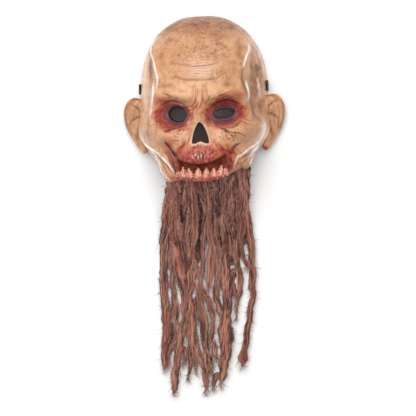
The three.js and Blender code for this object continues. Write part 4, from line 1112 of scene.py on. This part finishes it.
def make_strap():
    """A rounded flat section carried along the route; its width turns from flat to upright by an
    S-curve of the distance from the end."""
    mirrored = [(-x, y, z) for x, y, z in reversed(STRAP_ROUTE)]
    path = curve_through([*STRAP_ROUTE, STRAP_MIDDLE, *mirrored], STRAP_STEPS)
    along = unit(np.concatenate([path[1:], path[-1:]]) - np.concatenate([path[:1], path[:-1]]))
    length = np.concatenate([[0], np.cumsum(np.linalg.norm(np.diff(path, axis=0), axis=1))])
    from_end = np.minimum(length, length[-1] - length)
    twist = smooth(STRAP["flat_length"], STRAP["flat_length"] + STRAP["twist_length"], from_end) * np.pi / 2
    sideways = np.stack([-along[:, 1], along[:, 0], 0 * twist], -1)
    sideways[from_end < STRAP["flat_length"]] = (0, -1, 0)
    side = unit(sideways) * np.cos(twist)[:, None] + np.array([0, 0, 1]) * np.sin(twist)[:, None]
    side = unit(side - along * np.sum(side * along, 1)[:, None])
    face = np.cross(along, side)
    angle = 2 * np.pi * np.arange(STRAP_CORNERS) / STRAP_CORNERS
    wide = np.sign(np.cos(angle)) * np.abs(np.cos(angle)) ** 0.4 * STRAP["width"] / 2
    thick = np.sign(np.sin(angle)) * np.abs(np.sin(angle)) ** 0.7 * STRAP["thickness"] / 2
    points = path[:, None] + side[:, None] * wide[:, None] + face[:, None] * thick[:, None]
    points[..., 2] = np.maximum(points[..., 2], LOWEST)
    number = np.arange(len(path) * STRAP_CORNERS).reshape(-1, STRAP_CORNERS)
    faces = [tube_cells(number), np.stack([number[0][::-1], number[-1]])]
    masks = {"strap_along": np.repeat(length, STRAP_CORNERS), "strap_across": np.tile(wide, len(path))}
    return make_object("strap_band", points.reshape(-1, 3), faces, masks), path, length[-1]


def woven_elastic():
    """Black ribbed elastic: fine ribs across the band and a thread line along it."""
    material, place = new_finish("woven_elastic")
    ribs = (place.mask("strap_along") * 7.0).math("SINE")
    threads = (place.mask("strap_across") * 9.0).math("SINE")
    colour = (ribs * 0.5 + 0.5).over(rgb(13, 13, 14), rgb(30, 30, 32))
    coat_with(place, Base_Color=colour, Roughness=0.8, Sheen_Weight=0.2,
              Normal=(ribs + 0.6 * threads).bump(0.6, 0.0003))
    return material


strap, strap_path, strap_length = make_strap()
strap.data.materials.append(woven_elastic())
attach(strap, "root")
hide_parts("elastic_strap")
to_frame = [(x / 1000, (y + FACE_Y) / 1000, z / 1000) for x, y, z in strap_path.tolist()]

# Net behind the nose opening.
# A piece of fine black net, stuck to the inside of the shell round the nose opening to darken it.
NET = {"half_width": 19.0, "top": -10.0, "bottom": -52.0, "thickness": 0.8, "gap": 0.3}


def make_net():
    """A grid over the nose opening that follows the inner skin, set back from it, closed as a sheet."""
    x, y = np.meshgrid(np.linspace(-NET["half_width"], NET["half_width"], 61),
                       np.linspace(NET["bottom"], NET["top"], 67))
    places = places_over(x.ravel(), y.ravel())
    layers = []
    for depth in (NET["gap"], NET["gap"] + NET["thickness"]):
        points = inner_skin(places)
        points[:, 2] -= depth
        layers.append(points.reshape(*x.shape, 3))
    points, cells = closed_sheet(*layers)
    return make_object("nose_net", points, [cells])


def black_net():
    """Matt black threads that cross every 0.9 mm, with darker openings between them."""
    material, place = new_finish("black_net")
    across, along = [(place.node("ShaderNodeSeparateXYZ", {}, {0: place}, axis) * 7000.0).math("SINE")
                     for axis in (0, 1)]
    threads = across.math("MAXIMUM", along)
    colour = threads.step(-0.2, 0.9).over(rgb(9, 5, 4), rgb(40, 27, 22))
    coat_with(place, Base_Color=colour, Roughness=0.85, Sheen_Weight=0.3, Normal=threads.bump(0.5, 0.0003))
    return material


net = make_net()
net.data.materials.append(black_net())
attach(net, "root")
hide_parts("nose_mesh")

# Gauze beard.
# Strips torn from loose gauze, dyed brown, twisted and crumpled lengthwise, stuck in a row behind the
# lower edge of the mask. Near the shell they hide one another; below they part, and their torn edges fray.
BEARD_END_Y = -404.0
# Run over which it sags to the table, its thickness and ripple, its gap under the edge, and its sides.
BEARD = {"run": 125.0, "thickness": 7.0, "ripple": 1.4, "gap": 1.4, "left": -55.0, "right": 60.0}
# The shell's lower edge, by the angle round the middle of the face, and how far to both sides its
# lowest place is looked for.
EDGE_ANGLES = (0.8 - math.pi, -0.8)
EDGE_REACH = 7
# Each strip: the distance between its rings of points, its width as a share of the one listed, how far
# its root reaches behind the edge, how near the edge it starts if it has a root, and its room there.
STATION = 2.2
FULLNESS = 1.28
HIDDEN_ROOT = 5.0
NEAR_EDGE = 42.0
EDGE_ROOM = 8.0
# A strip's height over the underside, and how much more of it the uppermost strips have.
STRIP_RISE = 2.2
LAYER_RISE = 4.2
# Strips wider than this have more points round their section: above and, half as many, below.
WIDE_STRIP = 7.5
POINTS_ABOVE = {"wide": 26, "narrow": 15}
APRON = {"foot": -190.0, "rise": 2.0, "half_thickness": 0.5, "columns": 190, "rows": 60}


def edge_near(x, reach):
    """How far down the shell's lower edge reaches in y, and its lowest height, within a reach across."""
    low = rim[(rim_angle > EDGE_ANGLES[0]) & (rim_angle < EDGE_ANGLES[1])]
    near = np.abs(low[None, :, 0] - np.asarray(x)[:, None]) <= reach
    return [np.where(near, low[None, :, axis], np.inf).min(1) for axis in (1, 2)]


edge_x = np.linspace(BEARD["left"], BEARD["right"], 240)
edge_y, edge_z = edge_near(edge_x, EDGE_REACH)
top_y = edge_near(edge_x, 1)[0]


def beard_base(x, y):
    """Height of the beard's underside: it sags from the shell's edge to the table in a parabola."""
    start = np.interp(x, edge_x, edge_y)
    foot = np.interp(x, edge_x, edge_z) - BEARD["gap"] - BEARD["thickness"] - BEARD["ripple"]
    left = 1 - np.clip((start + HIDDEN_ROOT - y) / BEARD["run"], 0, 1)
    return foot * left * left


# Each strip: how high it lies among the others, 0 to 1, and points down its middle with its width there.
STRIPS = [
    (0.0, [(34, -127, 7), (30, -192, 6), (30, -227, 4)]),
    (0.0, [(-48, -263, 4), (-48, -319, 6), (-60, -346, 5), (-63, -360, 4)]),
    (0.0, [(-19, -263, 5), (-21, -286, 6), (-23, -301, 4)]),
    (0.0, [(35, -224, 7), (34, -249, 8), (39, -268, 7)]),
    (0.1, [(-44, -334, 4), (-37, -341, 6), (-39, -361, 4)]),
    (0.1, [(15, -374, 5), (5, -382, 7), (2, -398, 3)]),
    (0.2, [(-40, -118, 8), (-46, -160, 7), (-51, -218, 6), (-52, -268, 6), (-57, -300, 7),
           (-62, -359, 5)]),
    (0.2, [(6, -327, 4), (6, -342, 7), (10, -356, 5)]),
    (0.3, [(-6, -109, 8), (0, -141, 9), (-7, -182, 6), (-10, -239, 5)]),
    (0.3, [(6, -201, 5), (10, -235, 4)]),
    (0.3, [(-29, -312, 5), (-29, -345, 6), (-34, -384, 3)]),
    (0.3, [(49, -93, 12), (50, -141, 12), (50, -200, 5), (57, -225, 5)]),
    (0.4, [(15, -109, 10), (14, -160, 6), (14, -215, 7), (11, -260, 8), (15, -296, 7)]),
    (0.4, [(-25, -334, 6), (-22, -373, 5)]),
    (0.5, [(-47, -108, 14), (-54, -135, 13), (-61, -182, 12), (-64, -239, 10), (-64, -281, 10),
           (-61, -309, 11), (-66, -336, 9), (-66, -369, 6)]),
    (0.5, [(-16, -223, 4), (-21, -240, 4), (-13, -268, 6), (-9, -298, 11), (-7, -340, 7), (3, -365, 6)]),
    (0.6, [(4, -112, 8), (3, -170, 7), (5, -198, 10), (-1, -255, 6)]),
    (0.6, [(-27, -108, 11), (-28, -170, 10), (-26, -220, 7), (-29, -270, 10), (-26, -309, 12),
           (-25, -331, 12), (-13, -357, 7), (2, -375, 5)]),
    (0.6, [(-8, -341, 7), (-9, -377, 9), (-9, -403, 2)]),
    (0.7, [(-16, -114, 9), (-16, -161, 9), (-21, -206, 5), (-14, -228, 5), (-11, -251, 5), (0, -272, 7),
           (5, -309, 5), (-2, -334, 6)]),
    (0.7, [(37, -104, 10), (35, -150, 11), (41, -210, 8), (46, -252, 6), (38, -282, 4), (39, -298, 3)]),
    (0.8, [(-38, -110, 13), (-43, -150, 14), (-43, -211, 17), (-36, -254, 10), (-36, -290, 8), (-42, -328, 8),
           (-51, -375, 9), (-57, -404, 7)]),
    (0.8, [(60, -88, 9), (59, -140, 7), (62, -190, 8), (63, -250, 8), (55, -305, 7), (49, -343, 7),
           (47.5, -354, 10.5), (45, -366, 4)]),
    (0.9, [(28, -112, 10), (23, -172, 7), (22, -198, 5), (24, -233, 12), (25, -272, 10), (23, -315, 16),
           (20, -359, 12), (12, -392, 6)]),
]


def strip_line(points, index):
    """A strip's middle at every station as (x, y), its width there, and how far each place is from a
    free end. A strip that starts near the shell is carried on to its root behind the edge."""
    root_y = float(np.interp(points[0][0], edge_x, top_y)) + HIDDEN_ROOT
    rooted = root_y - points[0][1] < NEAR_EDGE
    if rooted:
        points = [(points[0][0], root_y, points[0][2]), *points]
    rough = curve_through(points, 40 * len(points))
    run = np.concatenate([[0], np.cumsum(np.hypot(*np.diff(rough[:, :2], axis=0).T))])
    length = np.arange(0, run[-1], STATION)
    line = np.stack([np.interp(length, run, column) for column in rough.T], -1)
    own = 37.0 * index
    sway = 1.8 * blend_noise(own, length, 17, 91) + 1.0 * blend_noise(own, length, 7, 92)
    line[:, 0] += sway * smooth(0, 30, length)
    uneven = 0.16 * blend_noise(own, length, 19, 93) + 0.14 * blend_noise(own, length, 7, 94)
    line[:, 2] *= FULLNESS + uneven
    free = length[-1] - length if rooted else np.minimum(length, length[-1] - length)
    return line[:, :2], line[:, 2], free


def make_strip(index, layer, points):
    """Grid of points of one strip, its tone and hue, and its own coordinates; the tone is painted light and
    shade. Its section is a flattened ring, denser above, that follows lengthwise folds: noise long along
    the strip, short across it, and slanted by a slow twist."""
    middle, width, free = strip_line(points, index)
    above = POINTS_ABOVE["wide" if width.max() > WIDE_STRIP else "narrow"]
    upper = np.linspace(0, np.pi, above + 1)[:-1]
    angle = np.concatenate([upper, np.linspace(np.pi, 2 * np.pi, above // 2)[:-1]])
    length = STATION * np.arange(len(middle))[:, None]
    ahead = unit(np.gradient(middle, axis=0))
    sideways = np.stack([-ahead[:, 1], ahead[:, 0]], -1)
    taper = 0.3 + 0.7 * smooth(0, 8, free)
    half = (width / 2 * taper)[:, None]
    ragged = 1 + 0.17 * blend_noise(length + 50 * index, 9 * np.cos(angle), 5, 95)
    across = half * np.cos(angle) * ragged
    slant = 0.3 * math.sin(1.9 * index + 1)
    fold_x = across + slant * length + 2.5 * blend_noise(length, 31 * index, 28, 96) + 23 * index
    fold = (1.25 * blend_noise(fold_x, length / 9, 2.6, 97)
            + 0.7 * blend_noise(fold_x, length / 12, 1.3, 98)
            + 0.25 * blend_noise(fold_x, length / 9, 0.8, 99))
    fold *= (0.55 + 0.45 * np.minimum(1, half / 4)) * taper[:, None]
    thick = (0.9 + 0.11 * width * taper)[:, None]
    bulge = 0.09 * width[:, None] * (1 - np.cos(angle) ** 2)
    turn = 0.42 * blend_noise(length, 11 * index, 45, 100)
    high = thick * np.sin(angle) + fold + bulge
    out = across * np.cos(turn) - high * np.sin(turn)
    lift = high * np.cos(turn) + across * np.sin(turn)
    place = middle[:, None] + sideways[:, None] * out[..., None]
    base = beard_base(place[..., 0], place[..., 1])
    below_edge = np.maximum(0, np.interp(place[..., 0], edge_x, top_y) - place[..., 1])
    rise = np.minimum(STRIP_RISE + LAYER_RISE * layer + lift, EDGE_ROOM + 0.5 * below_edge)
    grid = np.concatenate([place, np.maximum(base + rise, LOWEST)[..., None]], -1)
    # Tone is painted light and shade: lighter on the folds' crests, darker in their hollows, on the lower
    # layers and at both sides of the strip.
    tone = fold + 0.6 * (layer - 0.6) - 2.1 * np.abs(np.cos(angle)) ** 5
    tone += 0.4 * blend_noise(length, 13 * index, 30, 101)
    hue = 0.5 + 0.5 * math.sin(2.4 * index) + 0.5 * blend_noise(length, 19 * index, 40, 102)
    return grid, *np.broadcast_arrays(tone, hue, length, across)


def make_apron():
    """The merged upper part: a sheet of crumpled lengthwise folds from the shell's edge to a ragged
    foot. Its points, cells, tone, hue and its own coordinates; its tone is painted shade, darker than the
    strips."""
    share, down = np.meshgrid(np.linspace(0, 1, APRON["columns"]), np.linspace(1, 0, APRON["rows"]))
    left = BEARD["left"] + 1 - 8 * down
    right = BEARD["right"] - 1 + 3 * down
    x = left * (1 - share) + right * share
    top_x = BEARD["left"] + share * (BEARD["right"] - BEARD["left"])
    top = np.interp(top_x, edge_x, top_y) + HIDDEN_ROOT - 0.5
    foot = APRON["foot"] + 38 * blend_noise(x, 0, 7, 105) + 10 * blend_noise(x, 0, 2.3, 106)
    y = top * (1 - down) + foot * down
    wave = x + 3 * blend_noise(x, y, 24, 107)
    fold = (1.3 * blend_noise(wave, y / 6, 5.5, 108) + 0.9 * blend_noise(wave, y / 6, 2.4, 109)
            + 0.4 * blend_noise(wave, y / 4, 1.2, 110))
    z = beard_base(x, y) + APRON["rise"] + fold
    half = APRON["half_thickness"]
    front = np.stack([x, y, np.maximum(z + half, half + 0.1)], -1)
    back = np.stack([x, y, np.maximum(z - half, LOWEST)], -1)
    points, cells = closed_sheet(front, back)
    # The apron's tone is painted shade: its folds, set darker than the strips that lie over it.
    return points, cells, [np.tile(part.ravel(), 2) for part in (fold - 1.2, np.full(x.shape, 0.5), y, x)]


def make_beard():
    """The strips and the apron as one mesh, with tone (painted light and shade), hue and the gauze's own
    coordinates kept at its points, and the strips' grids for the threads."""
    grids, values, faces, count = [], [], [], 0
    for index, (layer, points) in enumerate(STRIPS):
        grid, *strip_values = make_strip(index, layer, points)
        number = count + np.arange(grid.shape[0] * grid.shape[1]).reshape(grid.shape[:2])
        faces += [tube_cells(number, reverse=True), np.stack([number[0], number[-1][::-1]])]
        values.append([part.ravel() for part in strip_values])
        grids.append(grid)
        count += number.size
    points, cells, apron_values = make_apron()
    faces.append(cells + count)
    values.append(apron_values)
    names = ("tone", "hue", "gauze_along", "gauze_across")
    masks = {name: np.concatenate([part[k] for part in values]) for k, name in enumerate(names)}
    every_point = np.concatenate([*(grid.reshape(-1, 3) for grid in grids), points])
    return make_object("beard_gauze", every_point, faces, masks), grids


# Long stray threads: points that each passes over.
STRAY_THREADS = [
    [(-60, -190), (-69, -186), (-75, -194), (-76.5, -209)],
    [(-66, -250), (-71, -258), (-76, -259), (-82.5, -258)],
    [(-66, -262), (-71, -259), (-77, -260), (-81, -262)],
    [(52.5, -290), (47, -287), (42, -290), (38, -289)],
    [(-20, -201), (-16, -199), (-13, -203), (-9, -202)],
    [(63, -205), (69, -203), (73, -207), (77.5, -207)],
    [(62, -266), (67, -271), (71, -268), (76, -271)],
    [(-9, -367), (-4, -370), (-2, -374), (1, -376)],
    [(4, -366), (0, -370), (-3, -375), (-7.5, -379)],
    [(5, -352), (1, -362), (2, -372), (8, -378)],
    [(-12, -205), (-7, -214), (-2, -212), (1, -222)],
    [(0, -206), (-5, -209), (-7, -219), (-3, -226)],
    [(58, -350), (52, -356), (41, -352), (37, -345)],
]
THREAD_POINTS = 9
THREAD_RADII = (0.16, 0.4)
# How far lying yarns are above a strip, how far all yarns stray, and how many hairs a free end has.
THREAD_LIFT = 0.25
THREAD_WANDER = 0.18
END_HAIRS = 24


def on_grid(grid, row, column):
    """Points of a grid at fractional rows and columns, blended between the four corners round each."""
    low_row, low_column = np.floor(row).astype(int), np.floor(column).astype(int)
    high_row = np.minimum(low_row + 1, grid.shape[0] - 1)
    high_column = (low_column + 1) % grid.shape[1]
    s, t = (row - low_row)[:, None], (column - low_column)[:, None]
    return ((grid[low_row, low_column] * (1 - t) + grid[low_row, high_column] * t) * (1 - s)
            + (grid[high_row, low_column] * (1 - t) + grid[high_row, high_column] * t) * s)


def lying_threads(draw, grid):
    """Yarns on a strip's upper side: they follow its grid, drift across it and lie just above it."""
    rows, above = grid.shape[0], 2 * grid.shape[1] // 3
    made = []
    for _ in range(rows):
        span = min(rows - 2, int(draw.integers(8, 30)))
        row = draw.integers(0, rows - span - 1) + np.linspace(0, span, THREAD_POINTS)
        column = draw.uniform(1, above - 1) + np.cumsum(draw.normal(0, 0.4, THREAD_POINTS))
        made.append(on_grid(grid, row, np.clip(column, 0, above - 0.01)) + [0, 0, THREAD_LIFT])
    return made


def hairs(draw, grid):
    """Frayed yarns: short ones off both edges of a strip, and a fan of longer ones past its free end."""
    rows, above = grid.shape[0], 2 * grid.shape[1] // 3
    t = np.linspace(0, 1, THREAD_POINTS)[:, None]
    made = []
    for past_end in [False] * (2 * rows // 3) + [True] * END_HAIRS:
        side = draw.choice((-1, 1))
        if past_end:
            start = grid[rows - int(draw.integers(1, 5)), int(draw.integers(0, above))]
            way, reach = draw.normal(-1.57, 0.45), draw.uniform(5, 14)
        else:
            start = grid[int(draw.integers(4, rows)), 0 if side > 0 else above]
            way, reach = math.pi * (side < 0) - side * draw.uniform(-0.5, 1.4), draw.uniform(2, 9)
        ahead = np.array([math.cos(way), math.sin(way), draw.uniform(-0.15, 0.2)]) * reach
        made.append(start + ahead * t + draw.normal(0, 0.3, 3) * reach * t * (1 - t) * 2)
    return made


def make_threads(grids):
    """Loose threads as thin three-sided tubes that taper to their ends."""
    draw = np.random.default_rng(7)
    lines = []
    for grid in grids:
        lines += lying_threads(draw, grid) + hairs(draw, grid)
    for points in STRAY_THREADS:
        flat = curve_through(points, THREAD_POINTS)
        rise = 3 + 4 * np.sin(np.linspace(0.2, 2.9, THREAD_POINTS))
        lines.append(np.column_stack([flat, beard_base(*flat.T) + rise]))
    curve = np.array(lines)
    curve += draw.normal(0, THREAD_WANDER, curve.shape)
    floor = beard_base(curve[..., 0], curve[..., 1]) + 0.3
    curve[..., 2] = np.maximum(curve[..., 2], floor)
    curve[..., 1] = np.maximum(curve[..., 1], BEARD_END_Y - 4)
    ahead = np.gradient(curve, axis=1)
    side = unit(np.cross(ahead, [0, 0, 1]) + 1e-9)
    up = unit(np.cross(side, ahead))
    taper = 1 - 0.6 * np.linspace(0, 1, THREAD_POINTS)[:, None, None]
    radius = draw.uniform(*THREAD_RADII, (len(lines), 1, 1, 1)) * taper
    turn = 2 * np.pi * np.arange(3)[:, None] / 3
    points = curve[:, :, None] + radius * (side[:, :, None] * np.cos(turn) + up[:, :, None] * np.sin(turn))
    number = np.arange(points.size // 3).reshape(len(lines), THREAD_POINTS, 3)
    faces = [tube_cells(number), np.concatenate([number[:, 0, ::-1], number[:, -1]])]
    tone = np.repeat(draw.uniform(0, 1, len(lines)), 3 * THREAD_POINTS)
    return make_object("beard_threads", points.reshape(-1, 3), faces, {"thread_tone": tone})


def dyed_gauze():
    """Brown gauze, redder on some strips, with the yarns of its open weave crossing every 1.3 mm. Painted
    light and shade make it tan on the crests of its folds and dark in their hollows and between strips."""
    material, place = new_finish("dyed_gauze")
    lengthwise = place.node("ShaderNodeMapping", {}, {"Vector": place, "Scale": (1, 0.09, 1)})
    streaks, patches, grain = lengthwise.noise(430, 4), place.noise(45), place.noise(480, 2)
    wander = place.noise(90) * 9.0
    warp = (place.mask("gauze_across") * 4.8 + wander).math("SINE")
    weft = (place.mask("gauze_along") * 4.4 + wander).math("SINE")
    weave = warp.math("MAXIMUM", weft)
    # Lightness from the tone's painted light and shade, with the yarn's streaks, grain, weave and patches.
    light = place.mask("tone") * 0.42 + streaks * 2.5 + grain * 0.8 + weave * 0.1 + patches * 0.5 - 1.34
    colour = light.step(0.1, 0.62).over(rgb(46, 22, 19), rgb(148, 80, 66))
    colour = light.step(0.6, 1.05).over(colour, rgb(186, 132, 108))
    redder = place.mask("hue") * patches.step(0.35, 0.6)
    colour = (redder * 0.65).over(colour, rgb(134, 64, 54))
    coat_with(place, Base_Color=colour, Roughness=0.92, Sheen_Weight=0.25, Sheen_Roughness=0.5,
              Normal=(streaks * 0.8 + weave * 0.25 + grain * 0.4).bump(0.8, 0.001))
    return material


def loose_thread():
    """Single yarns of the same gauze, each its own shade from the strips' brown to pale tan."""
    material, place = new_finish("loose_thread")
    uneven = place.noise(90, 2)
    shade = (place.mask("thread_tone") + 0.5 * uneven).step(0.3, 1.4)
    coat_with(place, Base_Color=shade.over(rgb(88, 44, 37), rgb(222, 174, 150)), Roughness=0.9,
              Normal=uneven.bump(0.3, 0.0002))
    return material


beard, strip_grids = make_beard()
beard.data.materials.append(dyed_gauze())
threads = make_threads(strip_grids)
threads.data.materials.append(loose_thread())
for piece in (beard, threads):
    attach(piece, "root")
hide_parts("gauze_beard")

# Studio.
# Plain pale table, a large soft light over the mask, a long soft light along each side and a camera
# that looks down on the lying mask from 2.3 m, turned 4 degrees to the side.
TABLE_HALF = 3.0
TABLE_TOP = -0.0005
WORLD_LIGHT = 0.39
TARGET = Vector((0.00607, (FACE_Y - 137.14) / 1000, 0.07))
CAMERA_DISTANCE = 2.3
CAMERA_TURN = math.radians(4)
CAMERA_ROLL = math.radians(1.5)
CAMERA_LENS = 142.2
CAMERA_SENSOR = 36


def make_table():
    """A flat square just under the mask."""
    mesh = bpy.data.meshes.new("table")
    corners = [(x * TABLE_HALF, y * TABLE_HALF, TABLE_TOP) for x, y in ((-1, -1), (1, -1), (1, 1), (-1, 1))]
    mesh.from_pydata(corners, [], [(0, 1, 2, 3)])
    table = bpy.data.objects.new("table", mesh)
    bpy.context.scene.collection.objects.link(table)
    material, place = new_finish("table_white")
    coat_with(place, Base_Color=rgb(244, 244, 243), Roughness=0.9)
    mesh.materials.append(material)


def add_softbox(name, at, aim, size, power):
    """A rectangular area light at a point, turned to face another."""
    light = bpy.data.lights.new(name, "AREA")
    light.shape = "RECTANGLE"
    light.size, light.size_y = size
    light.energy = power
    lamp = bpy.data.objects.new(name, light)
    lamp.location = at
    lamp.rotation_euler = (Vector(aim) - Vector(at)).to_track_quat("-Z", "Y").to_euler()
    bpy.context.scene.collection.objects.link(lamp)


make_table()
add_softbox("key", (-0.2, 1.0, 2.1), (0, 0, 0), (3.0, 3.0), 76)
for name, x in (("left_strip", -0.75), ("right_strip", 0.75)):
    add_softbox(name, (x, 0.05, 0.12), (0, 0.05, 0.08), (1.1, 0.1), 0.75)
world = bpy.data.worlds.new("room")
world.use_nodes = True
background = world.node_tree.nodes["Background"]
background.inputs["Color"].default_value = (1, 1, 1, 1)
background.inputs["Strength"].default_value = WORLD_LIGHT
bpy.context.scene.world = world
bpy.context.scene.view_settings.view_transform = "Standard"

camera = bpy.data.objects.new("camera", bpy.data.cameras.new("camera"))
camera.data.lens = CAMERA_LENS
camera.data.sensor_width = CAMERA_SENSOR
back = Vector((math.sin(CAMERA_TURN), 0, math.cos(CAMERA_TURN)))
right = Vector((math.cos(CAMERA_TURN), 0, -math.sin(CAMERA_TURN)))
turned = Matrix((right, back.cross(right), back)).transposed() @ Matrix.Rotation(-CAMERA_ROLL, 3, "Z")
camera.matrix_world = Matrix.LocRotScale(TARGET + back * CAMERA_DISTANCE, turned, None)
bpy.context.scene.collection.objects.link(camera)
bpy.context.scene.camera = camera
